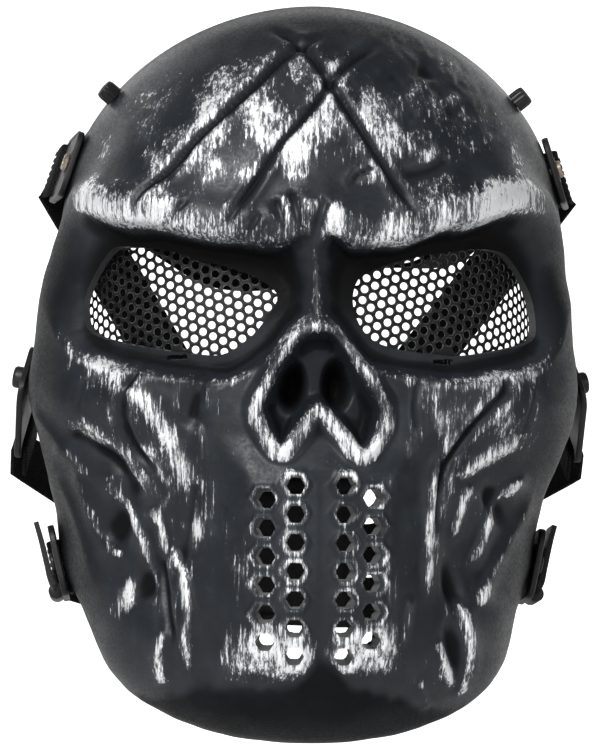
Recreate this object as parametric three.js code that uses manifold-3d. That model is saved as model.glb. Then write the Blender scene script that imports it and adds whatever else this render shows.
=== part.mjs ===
// A full-face skull mask: a moulded shell with perforated eye screens, strap plates, buckles and a harness.
// Units are millimetres. +Z is up, the face looks along -Y, and +X is on the right of the picture.
// The face is worked out from its eye line (z = 0) and the ear line (y = 0), then moved so that
// the origin is the place inside the forehead where the head bears.
import * as THREE from "three";
import { mergeVertices } from "three/addons/utils/BufferGeometryUtils.js";
import Module from "manifold-3d";

// The driving sizes of the face.
const HEIGHT = 262; // crown to the underside of the chin
const WIDTH = 198; // across the cheeks
const DEPTH = 112; // ear line to the front of the teeth
const WRAP_DEGREES = 106; // how far each section turns from the nose line round to its edge
const WALL = 2.6;
const GAP = 0.3; // left between pieces that touch

// The eye openings and their screens.
const EYE_WIDTH = 66.5;
const EYE_HEIGHT = 37.6;
const EYE_SPREAD = 91.6; // between the middles of the two openings
const SOCKET_DEPTH = 14; // under the brow
const SOCKET_SILL_DEPTH = 7; // at the lower lid
const SCREEN_THICK = 1;
const SCREEN_LAP = 3.2; // how far a screen runs on behind the edge of its opening
const SCREEN_HOLE = 6.2;
const SCREEN_PITCH = 9.2;
const SCREEN_TILT_DEGREES = 21; // the rows of holes fall towards the nose

// The nose, and the nostrils let in behind it.
const NOSE_WIDTH = 41;
const NOSE_HEIGHT = 44;
const NOSE_POCKET_DEPTH = 5;
const NOSTRIL_DEPTH = 6;
const NOSTRIL_WIDTH = 8.4;
const NOSTRIL_HEIGHT = 15;
const NOSTRIL_SPREAD = 16.5;

// The breath holes in the teeth.
const BREATH_HOLE = 6.7; // corner to corner
const BREATH_PITCH = 9.62;

// The relief, each height from the plain face.
const BROW_RISE = 4;
const BROW_MIDDLE = 7; // the middle of the brow above its lower edge
const BROW_SPREAD = 8;
const BRIDGE_RISE = 3;
const NOSE_RIM_RISE = 3.5;
const NOSE_RIM_WIDTH = 6;
const CHEEKBONE_RISE = 4;
const CHEEK_HOLLOW = 7;
const TEMPLE_HOLLOW = 4;
const MUZZLE_RISE = 4.5;

// The hardware and the harness.
const WEBBING_WIDTH = 20;
const WEBBING_THICK = 1.6;
const PLATE_THICK = 2.4;
const SCREW_CLEARANCE = 3.8; // half the room kept round a screw on the jaw buckle
const SCREW_SHANK = 3;
const NUT_WIDTH = 6;
const NUT_THICK = 1.8;
const SLOT = 5.4; // the slot that the webbing folds through
const FOLD_TAIL = 9; // the folded end behind the bar
const LEAF_THICK = 1.6; // the leaf of the jaw buckle
const LEAF_STAND = 2.4; // how far it stands off the plate
const LEAF_BAR = 2.9; // the half thickness of the bar at its foot
const RIM_OF_PLATE = 3.2;
const PAD_WIDTH = 62;
const PAD_HEIGHT = 60;
const PAD_THICK = 4;
const PAD_CORNER = 6;
const PAD_DROP = 95; // middle of the pad below the eye line
const PAD_BACK = 86; // front of the pad behind the ear line
const SEW_ON = 14; // how far each strap is sewn on over the pad
const CROWN_BACK = 62; // the crown strap's reach behind the ear line
const CROWN_HEIGHT = 17; // its lowest place, above the eye line

const COLUMNS_OF_FACETS = 32;
const ROWS_OF_FACETS = 38;
const SMALLEST_RELIEF = 0.45; // facets that differ by less than this are joined
const SCREEN_FACETS = 6; // each way over one screen

const HALF = WIDTH / 2;
const radians = THREE.MathUtils.degToRad;
const { clamp, lerp, smoothstep } = THREE.MathUtils;
const wasm = await Module();
wasm.setup();

// The sections of the plain face, from the crown down. Each is an arc from the nose line to the side.
// Widths and leans are shares of HALF, heights of HEIGHT and depths of DEPTH.
const SECTION_COLUMNS = [
  "midDepth", "midHeight", "sideWidth", "sideDepth", "sideHeight", "squareness", "lean",
];
const SECTIONS = [
  [0.268, 0.41, 0.909, 0.107, 0.122, 1.92, 0.032],
  [0.554, 0.38, 0.919, 0.107, 0.095, 1.94, 0.03],
  [0.786, 0.319, 0.932, 0.125, 0.057, 1.98, 0.024],
  [0.929, 0.229, 0.956, 0.161, 0.019, 2.1, 0.006],
  [0.982, 0.137, 0.97, 0.196, -0.023, 2.25, 0],
  [0.973, 0.038, 0.98, 0.223, -0.069, 2.3, 0],
  [0.955, -0.076, 0.998, 0.223, -0.126, 2.2, 0],
  [0.982, -0.198, 0.949, 0.205, -0.198, 2.1, -0.005],
  [1, -0.321, 0.885, 0.179, -0.282, 2.05, -0.012],
  [0.991, -0.439, 0.863, 0.161, -0.344, 2.1, -0.014],
  [0.92, -0.527, 0.818, 0.161, -0.385, 2.12, -0.008],
  [0.75, -0.576, 0.782, 0.161, -0.408, 2.15, 0.002],
  [0.536, -0.592, 0.758, 0.161, -0.42, 2.2, 0.012],
].map((row) => Object.fromEntries(row.map((value, i) => [SECTION_COLUMNS[i], value])));

// A smooth curve through a column of the section table, at a share of the way down.
function column(name, down) {
  const last = SECTIONS.length - 1;
  const place = clamp(down, 0, 1) * last;
  const i = Math.min(Math.floor(place), last - 1);
  const t = place - i;
  const b = SECTIONS[i][name];
  const c = SECTIONS[i + 1][name];
  const a = i > 0 ? SECTIONS[i - 1][name] : 2 * b - c;
  const d = i < last - 1 ? SECTIONS[i + 2][name] : 2 * c - b;
  return 0.5 * (2 * b + (c - a) * t + (2 * a - 5 * b + 4 * c - d) * t * t + (3 * b - a - 3 * c + d) * t ** 3);
}

// The plain face: across runs from -1 at the left edge to 1 at the right edge, down from 0 to 1.
function plainFace(across, down) {
  const turn = across * radians(WRAP_DEGREES);
  const n = column("squareness", down);
  const s = Math.sin(turn);
  const c = Math.cos(turn);
  const k = (Math.abs(s) ** n + Math.abs(c) ** n) ** (-1 / n);
  const side = -column("sideDepth", down) * DEPTH;
  const middle = -column("midDepth", down) * DEPTH;
  const sideHeight = column("sideHeight", down) * HEIGHT;
  const midHeight = column("midHeight", down) * HEIGHT;
  return new THREE.Vector3(
    (column("sideWidth", down) * s * k + column("lean", down)) * HALF,
    side + (middle - side) * c * k,
    sideHeight + (midHeight - sideHeight) * c * k,
  );
}

// The direction straight out of the plain face.
function outward(across, down) {
  const step = 0.004;
  const alongAcross = plainFace(across + step, down).sub(plainFace(across - step, down));
  const alongDown = plainFace(across, down + step).sub(plainFace(across, down - step));
  return alongDown.cross(alongAcross).normalize();
}

// The outlines of the eye openings. Each point is a share of the half width, positive towards the
// outer corner, and a share of the half height, from the middle of the opening.
const EYES = {
  left: {
    side: -1,
    rise: EYE_HEIGHT * -0.0106,
    outline: [
      [1, -0.31], [0.97, 0.2], [0.75, 0.9], [0.56, 1], [0.1, 0.89], [-0.27, 0.71],
      [-0.72, 0.46], [-0.98, 0.12], [-0.88, -0.27], [-0.73, -0.62], [-0.52, -0.9], [-0.3, -1],
      [0.3, -0.88], [0.68, -0.76], [0.92, -0.6],
    ],
  },
  right: {
    side: 1,
    rise: EYE_HEIGHT * 0.008,
    outline: [
      [1, -0.35], [0.94, 0.2], [0.72, 0.8], [0.5, 0.98], [0.12, 0.94], [-0.33, 0.8],
      [-0.67, 0.64], [-0.94, 0.38], [-1, -0.05], [-0.93, -0.45], [-0.78, -0.74], [-0.5, -0.9],
      [-0.13, -0.97], [0.17, -1], [0.62, -0.88], [0.95, -0.7],
    ],
  },
};
const OUTLINE_STEPS = 30;
for (const eye of Object.values(EYES)) {
  const points = eye.outline.map(
    ([out, up]) =>
      new THREE.Vector3((eye.side * (EYE_SPREAD + out * EYE_WIDTH)) / 2, 0, eye.rise + (up * EYE_HEIGHT) / 2),
  );
  eye.points = new THREE.CatmullRomCurve3(points, true).getPoints(OUTLINE_STEPS).slice(0, OUTLINE_STEPS);
}

// The nose opening, an upside-down heart. Shares of its half width and of its height, from its middle.
const NOSE_MIDDLE = { x: HALF * 0.026, z: HEIGHT * -0.1164 };
const NOSE_OUTLINE = [
  [0, 0.5], [0.34, 0.44], [0.62, 0.12], [0.92, -0.1], [1, -0.24], [0.9, -0.42],
  [0.62, -0.5], [0.28, -0.4], [0, -0.2], [-0.28, -0.4], [-0.62, -0.5], [-0.9, -0.42],
  [-1, -0.24], [-0.92, -0.1], [-0.62, 0.12], [-0.34, 0.44],
];
const NOSE_DOWN = 0.525; // share of the way down to the middle of the nose
const NOSTRIL_HIGH = HEIGHT * -0.1137;
const nosePoints = new THREE.CatmullRomCurve3(
  NOSE_OUTLINE.map(
    ([x, z]) => new THREE.Vector3(NOSE_MIDDLE.x + (x * NOSE_WIDTH) / 2, 0, NOSE_MIDDLE.z + z * NOSE_HEIGHT),
  ),
  true,
)
  .getPoints(OUTLINE_STEPS)
  .slice(0, OUTLINE_STEPS);

// The distance from a place on the front view to a closed outline, negative inside it.
function outsideOf(points, x, z) {
  let nearest = Infinity;
  let inside = false;
  points.forEach((a, i) => {
    const b = points[(i + 1) % points.length];
    const dx = b.x - a.x;
    const dz = b.z - a.z;
    const t = clamp(((x - a.x) * dx + (z - a.z) * dz) / (dx * dx + dz * dz), 0, 1);
    nearest = Math.min(nearest, Math.hypot(x - a.x - t * dx, z - a.z - t * dz));
    const crosses = a.z > z !== b.z > z && x < ((b.x - a.x) * (z - a.z)) / (b.z - a.z) + a.x;
    inside = crosses ? !inside : inside;
  });
  return inside ? -nearest : nearest;
}

// The columns of breath holes: shares of HALF across and of HEIGHT above the eye line.
const BREATH_COLUMNS = [
  { across: -0.1737, top: -0.2573, count: 6 },
  { across: -0.0727, top: -0.2389, count: 7 },
  { across: 0.097, top: -0.2389, count: 7 },
  { across: 0.1899, top: -0.2542, count: 6 },
];

// The lower edge of the brow: shares of HALF across and of HEIGHT above the eye line.
const BROW = [
  [-0.99, 0.06], [-0.86, 0.118], [-0.65, 0.099], [-0.33, 0.077], [-0.16, 0.07], [0.02, 0.085], [0.13, 0.07],
  [0.27, 0.074], [0.49, 0.098], [0.72, 0.123], [0.84, 0.118], [0.99, 0.06],
];
function browHeight(x) {
  const share = x / HALF;
  const i = clamp(BROW.findLastIndex(([across]) => across <= share), 0, BROW.length - 2);
  const [a, b] = [BROW[i], BROW[i + 1]];
  return HEIGHT * lerp(a[1], b[1], smoothstep(share, a[0], b[0]));
}

// A soft mound of height 1 round a place on the front view, with its half widths across and up.
function mound(x, z, place) {
  const dx = (x - place.x * HALF) / (place.wide * HALF);
  const dz = (z - place.z * HEIGHT) / (place.tall * HEIGHT);
  return Math.exp(-dx * dx - dz * dz);
}
// The mounds are given for the right side and mirrored. Shares of HALF and HEIGHT.
const MOUNDS = [
  { name: "cheekbone", x: 0.7, z: -0.135, wide: 0.2, tall: 0.042, rise: CHEEKBONE_RISE },
  { name: "cheekbone end", x: 0.88, z: -0.17, wide: 0.12, tall: 0.06, rise: CHEEKBONE_RISE * 0.6 },
  { name: "cheek hollow", x: 0.62, z: -0.33, wide: 0.2, tall: 0.12, rise: -CHEEK_HOLLOW },
  { name: "jaw line", x: 0.66, z: -0.5, wide: 0.16, tall: 0.07, rise: CHEEKBONE_RISE * 0.5 },
  { name: "temple", x: 0.87, z: 0.22, wide: 0.1, tall: 0.1, rise: -TEMPLE_HOLLOW },
];

// How deep the eye lies behind the plain face at a height.
function socketDepth(z, eye) {
  const up = smoothstep(z, eye.rise - EYE_HEIGHT / 2, eye.rise + EYE_HEIGHT / 2);
  return lerp(SOCKET_SILL_DEPTH, SOCKET_DEPTH, up);
}

// How deep the face is let in round the eyes.
function socket(x, z) {
  let depth = 0;
  for (const eye of Object.values(EYES)) {
    const away = outsideOf(eye.points, x, z);
    const up = smoothstep(z, eye.rise - EYE_HEIGHT / 2, eye.rise + EYE_HEIGHT / 2);
    const band = lerp(EYE_HEIGHT * 0.17, EYE_HEIGHT * 0.5, up);
    const lip = SCREEN_LAP + GAP;
    const reach = 1 - smoothstep(away, lip, lip + band);
    const underBrow = smoothstep(browHeight(x) - z, -EYE_HEIGHT * 0.04, EYE_HEIGHT * 0.2);
    depth = Math.max(depth, socketDepth(z, eye) * Math.min(reach, underBrow));
  }
  return depth;
}

// The hollows, which the inside of the wall follows too.
function hollows(x, z) {
  let total = -socket(x, z);
  for (const place of MOUNDS) {
    if (place.rise < 0) total += place.rise * mound(Math.abs(x), z, place);
  }
  return total;
}

// The muzzle is a raised block round the teeth. Shares of HALF across and of HEIGHT down: how far
// it reaches, and where it has reached its full rise.
const MUZZLE = {
  middle: 0.01,
  edge: 0.36,
  full: 0.23,
  top: 0.17,
  topFull: 0.24,
  foot: 0.52,
  footFull: 0.46,
};
const BRIDGE = { x: 0, z: -0.01, wide: 0.1, tall: 0.08 };

// The raised forms, on the outside alone.
function swellings(x, z) {
  const fromMiddle = (z - browHeight(x) - BROW_MIDDLE) / BROW_SPREAD;
  const brow = Math.exp(-(fromMiddle ** 2)) * smoothstep(HALF * 0.96 - Math.abs(x), 0, HALF * 0.12);
  const bridge = mound(x, z, BRIDGE);
  const nose = outsideOf(nosePoints, x, z);
  const rim = 1 - smoothstep(nose, NOSE_RIM_WIDTH * 0.08, NOSE_RIM_WIDTH * 1.08);
  const muzzle =
    smoothstep(-Math.abs(x - MUZZLE.middle * HALF), -MUZZLE.edge * HALF, -MUZZLE.full * HALF) *
    smoothstep(z, -MUZZLE.foot * HEIGHT, -MUZZLE.footFull * HEIGHT) *
    smoothstep(-z, MUZZLE.top * HEIGHT, MUZZLE.topFull * HEIGHT);
  let total = BROW_RISE * brow + BRIDGE_RISE * bridge + NOSE_RIM_RISE * rim + MUZZLE_RISE * muzzle;
  for (const place of MOUNDS) {
    if (place.rise > 0) total += place.rise * mound(Math.abs(x), z, place);
  }
  return total;
}

// The relief fades out towards the sides and the crown, so that the plates sit on plain places.
const RELIEF = { across: 0.66, acrossEnd: 0.84, down: 0.24, downEnd: 0.12 };

// A place on the outside of the face, or at a depth behind it on the inside.
function onFace(across, down, depthBehind = null) {
  const plain = plainFace(across, down);
  const fromSides = 1 - smoothstep(Math.abs(across), RELIEF.across, RELIEF.acrossEnd);
  const full = fromSides * smoothstep(down, RELIEF.downEnd, RELIEF.down);
  const low = hollows(plain.x, plain.z) * full;
  const lift = depthBehind === null ? low + swellings(plain.x, plain.z) * full : low - depthBehind;
  return plain.addScaledVector(outward(across, down), lift);
}

// A closed solid between two grids of places with the same rows and columns.
function slab(front, back) {
  const rows = front.length;
  const columns = front[0].length;
  const at = (layer, i, j) => (layer * rows + i) * columns + j;
  const positions = [...front.flat(), ...back.flat()].flatMap((p) => [p.x, p.y, p.z]);
  const faces = [];
  const quad = (a, b, c, d) => faces.push(a, b, c, a, c, d);
  for (let i = 0; i < rows - 1; i++) {
    for (let j = 0; j < columns - 1; j++) {
      // Each quad is split along the shorter of its two diagonals on the front.
      const falling = front[i][j].distanceTo(front[i + 1][j + 1]);
      const rising = front[i][j + 1].distanceTo(front[i + 1][j]);
      if (falling < rising) {
        quad(at(0, i, j), at(0, i + 1, j), at(0, i + 1, j + 1), at(0, i, j + 1));
        quad(at(1, i + 1, j + 1), at(1, i + 1, j), at(1, i, j), at(1, i, j + 1));
      } else {
        quad(at(0, i + 1, j), at(0, i + 1, j + 1), at(0, i, j + 1), at(0, i, j));
        quad(at(1, i, j + 1), at(1, i + 1, j + 1), at(1, i + 1, j), at(1, i, j));
      }
    }
  }
  for (let i = 0; i < rows - 1; i++) {
    quad(at(0, i, 0), at(1, i, 0), at(1, i + 1, 0), at(0, i + 1, 0));
    quad(at(0, i + 1, columns - 1), at(1, i + 1, columns - 1), at(1, i, columns - 1), at(0, i, columns - 1));
  }
  for (let j = 0; j < columns - 1; j++) {
    quad(at(0, 0, j + 1), at(1, 0, j + 1), at(1, 0, j), at(0, 0, j));
    quad(at(0, rows - 1, j), at(1, rows - 1, j), at(1, rows - 1, j + 1), at(0, rows - 1, j + 1));
  }
  const geometry = new THREE.BufferGeometry();
  geometry.setAttribute("position", new THREE.Float32BufferAttribute(positions, 3));
  geometry.setIndex(faces);
  return geometry;
}

// A geometry as a solid that can be cut and joined.
function solid(geometry) {
  const bare = geometry.clone();
  bare.deleteAttribute("normal");
  bare.deleteAttribute("uv");
  const merged = mergeVertices(bare, 1e-4);
  return new wasm.Manifold(
    new wasm.Mesh({
      numProp: 3,
      vertProperties: merged.attributes.position.array,
      triVerts: new Uint32Array(merged.index.array),
    }),
  );
}

// A solid back as a geometry.
function shape(made) {
  const mesh = made.getMesh();
  const geometry = new THREE.BufferGeometry();
  geometry.setAttribute("position", new THREE.BufferAttribute(new Float32Array(mesh.vertProperties), 3));
  geometry.setIndex(new THREE.BufferAttribute(new Uint32Array(mesh.triVerts), 1));
  geometry.computeVertexNormals();
  return geometry;
}

// A prism along the depth of the face with a given outline on the front view.
function prism(points, from, to) {
  const outline = new THREE.Shape(points.map((p) => new THREE.Vector2(p.x, p.z)));
  const geometry = new THREE.ExtrudeGeometry(outline, { depth: to - from, bevelEnabled: false });
  return solid(geometry.rotateX(Math.PI / 2).translate(0, to, 0));
}

// A regular six-sided outline on the front view, with a corner at the angle start.
function hexagon(x, z, radius, start) {
  return Array.from({ length: 6 }, (_, i) => {
    const angle = start + (i * Math.PI) / 3;
    return new THREE.Vector3(x + radius * Math.cos(angle), 0, z + radius * Math.sin(angle));
  });
}

// The grid lines of the shell, closer together over the eyes, nose and mouth.
const acrosses = Array.from({ length: COLUMNS_OF_FACETS + 1 }, (_, i) => {
  const t = (2 * i) / COLUMNS_OF_FACETS - 1;
  return t * (0.62 + 0.38 * t * t);
});
const FACE_MIDDLE = 0.55; // share of the way down where the rows are closest
const downs = Array.from({ length: ROWS_OF_FACETS + 1 }, (_, i) => {
  const t = i / ROWS_OF_FACETS;
  const wave = (share) => Math.sin(2 * Math.PI * (share - FACE_MIDDLE));
  return t - 0.07 * (wave(t) - wave(0));
});
const grid = (place) => downs.map((down) => acrosses.map((across) => place(across, down)));

// Where a plate or screw sits on the outside of the shell: x runs along the strap, away from the
// face, turned down by the tilt, y across it and z straight out.
function seat({ across, down, tilt }) {
  const out = outward(across, down);
  const back = new THREE.Vector3(0, 1, 0).addScaledVector(out, -out.y).normalize();
  const below = new THREE.Vector3(0, 0, -1).addScaledVector(out, out.z);
  below.addScaledVector(back, -below.dot(back)).normalize();
  const angle = radians(tilt);
  const along = back.multiplyScalar(Math.cos(angle)).addScaledVector(below, Math.sin(angle));
  const frame = new THREE.Matrix4().makeBasis(along, out.clone().cross(along), out);
  return frame.setPosition(onFace(across, down).addScaledVector(out, GAP));
}

// A rectangle with round corners.
function roundedRectangle(left, right, low, high, radius, Kind = THREE.Shape) {
  const path = new Kind();
  path.moveTo(left + radius, low);
  path.lineTo(right - radius, low);
  path.absarc(right - radius, low + radius, radius, -Math.PI / 2, 0);
  path.lineTo(right, high - radius);
  path.absarc(right - radius, high - radius, radius, 0, Math.PI / 2);
  path.lineTo(left + radius, high);
  path.absarc(left + radius, high - radius, radius, Math.PI / 2, Math.PI);
  path.lineTo(left, low + radius);
  path.absarc(left + radius, low + radius, radius, Math.PI, 1.5 * Math.PI);
  return path;
}

// A strap plate: behind its screw it reaches back to a slot and a bar for the webbing.
function plateShape({ front, reach, width }) {
  const outline = roundedRectangle(-front, reach, -width / 2, width / 2, width * 0.24);
  const slotEnd = reach - RIM_OF_PLATE;
  const half = WEBBING_WIDTH / 2 + GAP;
  outline.holes.push(roundedRectangle(slotEnd - SLOT, slotEnd, -half, half, SLOT * 0.2, THREE.Path));
  const hole = hexagon(0, 0, SCREW_SHANK / 2 + GAP * 1.5, Math.PI / 2);
  outline.holes.push(new THREE.Path(hole.map((p) => new THREE.Vector2(p.x, p.z))));
  const options = { depth: PLATE_THICK, bevelEnabled: false, curveSegments: 2 };
  return new THREE.ExtrudeGeometry(outline, options);
}

// The jaw buckle has a leaf that stands off its plate and a round bar where the two meet.
function jawLeaf({ front, reach, width, hand }) {
  const foot = -hand * (width / 2 - LEAF_BAR);
  const tip = hand * (width / 2 + LEAF_BAR);
  const low = PLATE_THICK * 0.5;
  const profile = new THREE.Shape([
    new THREE.Vector2(foot - hand * LEAF_THICK, low),
    new THREE.Vector2(foot + hand * LEAF_THICK, low),
    new THREE.Vector2(foot + hand * LEAF_BAR, PLATE_THICK + LEAF_STAND - LEAF_THICK),
    new THREE.Vector2(tip, PLATE_THICK + LEAF_STAND + LEAF_THICK * 0.4),
    new THREE.Vector2(tip, PLATE_THICK + LEAF_STAND + LEAF_THICK * 1.4),
    new THREE.Vector2(foot, PLATE_THICK + LEAF_STAND + LEAF_THICK),
    new THREE.Vector2(foot - hand * LEAF_BAR, PLATE_THICK + LEAF_STAND * 0.6),
  ]);
  const length = reach - RIM_OF_PLATE - SLOT - RIM_OF_PLATE * 0.3 - SCREW_CLEARANCE;
  const leaf = new THREE.ExtrudeGeometry(profile, { depth: length, bevelEnabled: false });
  const turned = new THREE.Matrix4().makeBasis(
    new THREE.Vector3(0, 1, 0), new THREE.Vector3(0, 0, 1), new THREE.Vector3(1, 0, 0),
  );
  return solid(leaf.applyMatrix4(turned).translate(SCREW_CLEARANCE, 0, 0));
}

// A screw: a shank through its plate and the shell. Its head stands on an outside plate, or on the
// shell where the plate is inside, and then a nut under the plate holds the plate up.
function screwShape({ head, rise, sunk }) {
  const shank = SCREW_SHANK / 2;
  const stand = sunk > 0 ? 0 : PLATE_THICK + GAP;
  const nutTop = -sunk - GAP;
  const nutFoot = nutTop - NUT_THICK;
  const nut = [[0, nutFoot], [NUT_WIDTH / 2, nutFoot], [NUT_WIDTH / 2, nutTop], [shank, nutTop]];
  const foot = sunk > 0 ? nut : [[0, -WALL], [shank, -WALL]];
  const profile = [
    ...foot, [shank, stand], [head / 2, stand], [head / 2, stand + rise * 0.8],
    [head * 0.38, stand + rise], [0, stand + rise],
  ].map(([r, h]) => new THREE.Vector2(r, h));
  return new THREE.LatheGeometry(profile, 6).rotateX(Math.PI / 2);
}

// A band of webbing along a list of places, each with a point and the direction across the band.
function band(places) {
  const count = places.length;
  const front = [];
  const back = [];
  places.forEach(({ point, width }, i) => {
    const next = places[Math.min(i + 1, count - 1)].point;
    const last = places[Math.max(i - 1, 0)].point;
    const along = next.clone().sub(last).normalize();
    const across = width.clone().addScaledVector(along, -width.dot(along)).normalize();
    const out = along.clone().cross(across);
    const at = (side, face) =>
      point
        .clone()
        .addScaledVector(across, (side * WEBBING_WIDTH) / 2)
        .addScaledVector(out, (face * WEBBING_THICK) / 2);
    front.push([at(-1, 1), at(1, 1)]);
    back.push([at(-1, -1), at(1, -1)]);
  });
  return slab(front, back);
}

// The webbing's fold through a plate: in at the outside, round the bar and back underneath.
const LEVEL = GAP + WEBBING_THICK / 2;
function foldPlaces(frame, reach) {
  const slotMiddle = reach - RIM_OF_PLATE - SLOT / 2;
  const width = new THREE.Vector3().setFromMatrixColumn(frame, 1);
  const turnHeight = PLATE_THICK / 2 + LEVEL;
  const turn = [-60, -20, 20, 60].map((degrees) => [
    slotMiddle + SLOT / 2 - (SLOT / 2) * Math.cos(radians(degrees)),
    PLATE_THICK / 2 + turnHeight * Math.sin(radians(degrees)),
  ]);
  return [
    [reach + FOLD_TAIL, -LEVEL], [reach, -LEVEL], [reach - RIM_OF_PLATE, -LEVEL], ...turn,
    [reach - RIM_OF_PLATE, PLATE_THICK + LEVEL], [reach, PLATE_THICK + LEVEL],
    [reach + FOLD_TAIL, PLATE_THICK + LEVEL],
  ].map(([x, z]) => ({ point: new THREE.Vector3(x, 0, z).applyMatrix4(frame), width }));
}

// A smooth run of places through a few, given as points and the directions across the band.
function run(stops, steps) {
  const points = new THREE.CatmullRomCurve3(stops.map((stop) => stop.point));
  const widths = new THREE.CatmullRomCurve3(stops.map((stop) => stop.width));
  return Array.from({ length: steps + 1 }, (_, i) => ({
    point: points.getPoint(i / steps),
    width: widths.getPoint(i / steps).normalize(),
  }));
}

// Where the straps leave the shell. The face is mirrored, so each row serves both sides. across and
// down place the screw on the shell, and tilt turns the plate down. front, reach and width are the
// plate's size from the screw, head and rise are the screw's, all as shares of WEBBING_WIDTH.
const PLATE_SAG = 2.7; // room for the hollow of the shell over a flat plate inside it
const ANCHOR_COLUMNS = ["name", "across", "down", "tilt", "front", "reach", "width", "head", "rise"];
const WEBBING_SHARES = ["front", "reach", "width", "head", "rise"];
const ANCHORS = [
  ["top_plate", 0.505, 0.038, 20, 0.3, 1.25, 1.25, 0.36, 0.28],
  ["temple_plate", 0.69, 0.055, 6, 0.3, 1.35, 1.25, 0.3, 0.04],
  ["ear_buckle", 0.9, 0.465, 42, 0.35, 1.65, 1.3, 0.4, 0.17],
  ["jaw_buckle", 0.79, 0.75, 8, 0.35, 1.55, 1.3, 0.3, 0.06],
].map((row) => {
  const anchor = Object.fromEntries(row.map((value, i) => [ANCHOR_COLUMNS[i], value]));
  WEBBING_SHARES.forEach((size) => (anchor[size] *= WEBBING_WIDTH));
  const isInside = anchor.name === "top_plate";
  return { ...anchor, sunk: isInside ? WALL + 2 * GAP + PLATE_THICK + PLATE_SAG : 0 };
});
const SIDES = [
  { label: "left", hand: -1 },
  { label: "right", hand: 1 },
];

const paint = (color, roughness, metalness) =>
  new THREE.MeshStandardMaterial({ color, roughness, metalness });
const SHELL_PLASTIC = paint(0x3b4045, 0.45, 0.2);
const SCREEN_STEEL = paint(0x17181a, 0.5, 0.6);
const BLACK_PLASTIC = paint(0x151617, 0.55, 0);
const BLACK_STEEL = paint(0x2b2c2e, 0.4, 0.8);
const RIVET_STEEL = paint(0xa89f8c, 0.35, 0.9);
const WEBBING = paint(0x121314, 0.9, 0);
const PAD_FOAM = paint(0x191a1b, 0.95, 0);

const mask = new THREE.Group();
function piece(name, geometry, material) {
  const mesh = new THREE.Mesh(geometry, material);
  mesh.name = name;
  mask.add(mesh);
}

// The shell, cut through for the eyes, the breath holes and the screws.
let shell = solid(
  slab(
    grid((across, down) => onFace(across, down)),
    grid((across, down) => onFace(across, down, WALL)),
  ),
);
const CUT_FRONT = -DEPTH * 1.3;
const CUT_BACK = -DEPTH * 0.3;
const noseFloor = onFace(0, NOSE_DOWN).y + NOSE_POCKET_DEPTH;
const nostrilFloor = noseFloor + NOSTRIL_DEPTH;
const ovals = [-1, 1].map((hand) => {
  const across = NOSE_MIDDLE.x + (hand * NOSTRIL_SPREAD) / 2;
  const oval = new THREE.EllipseCurve(across, NOSTRIL_HIGH, NOSTRIL_WIDTH / 2, NOSTRIL_HEIGHT / 2);
  return oval.getPoints(12).slice(0, 12).map((p) => new THREE.Vector3(p.x, 0, p.y));
});
const around = (points, wall) => {
  const middle = points.reduce((sum, p) => sum.add(p), new THREE.Vector3()).divideScalar(points.length);
  return points.map((p) => p.clone().addScaledVector(p.clone().sub(middle).normalize(), wall));
};
shell = shell.add(prism(around(nosePoints, WALL), noseFloor - WALL, noseFloor + WALL));
for (const oval of ovals) {
  shell = shell.add(prism(around(oval, WALL), noseFloor, nostrilFloor + WALL));
}
shell = shell.subtract(prism(nosePoints, CUT_FRONT, noseFloor));
for (const oval of ovals) {
  shell = shell.subtract(prism(oval, CUT_FRONT, nostrilFloor));
}
for (const eye of Object.values(EYES)) {
  shell = shell.subtract(prism(eye.points, CUT_FRONT, CUT_BACK));
}
for (const { across, top, count } of BREATH_COLUMNS) {
  for (let i = 0; i < count; i++) {
    const hole = hexagon(across * HALF, top * HEIGHT - i * BREATH_PITCH, BREATH_HOLE / 2, 0);
    shell = shell.subtract(prism(hole, CUT_FRONT, CUT_BACK));
  }
}

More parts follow.
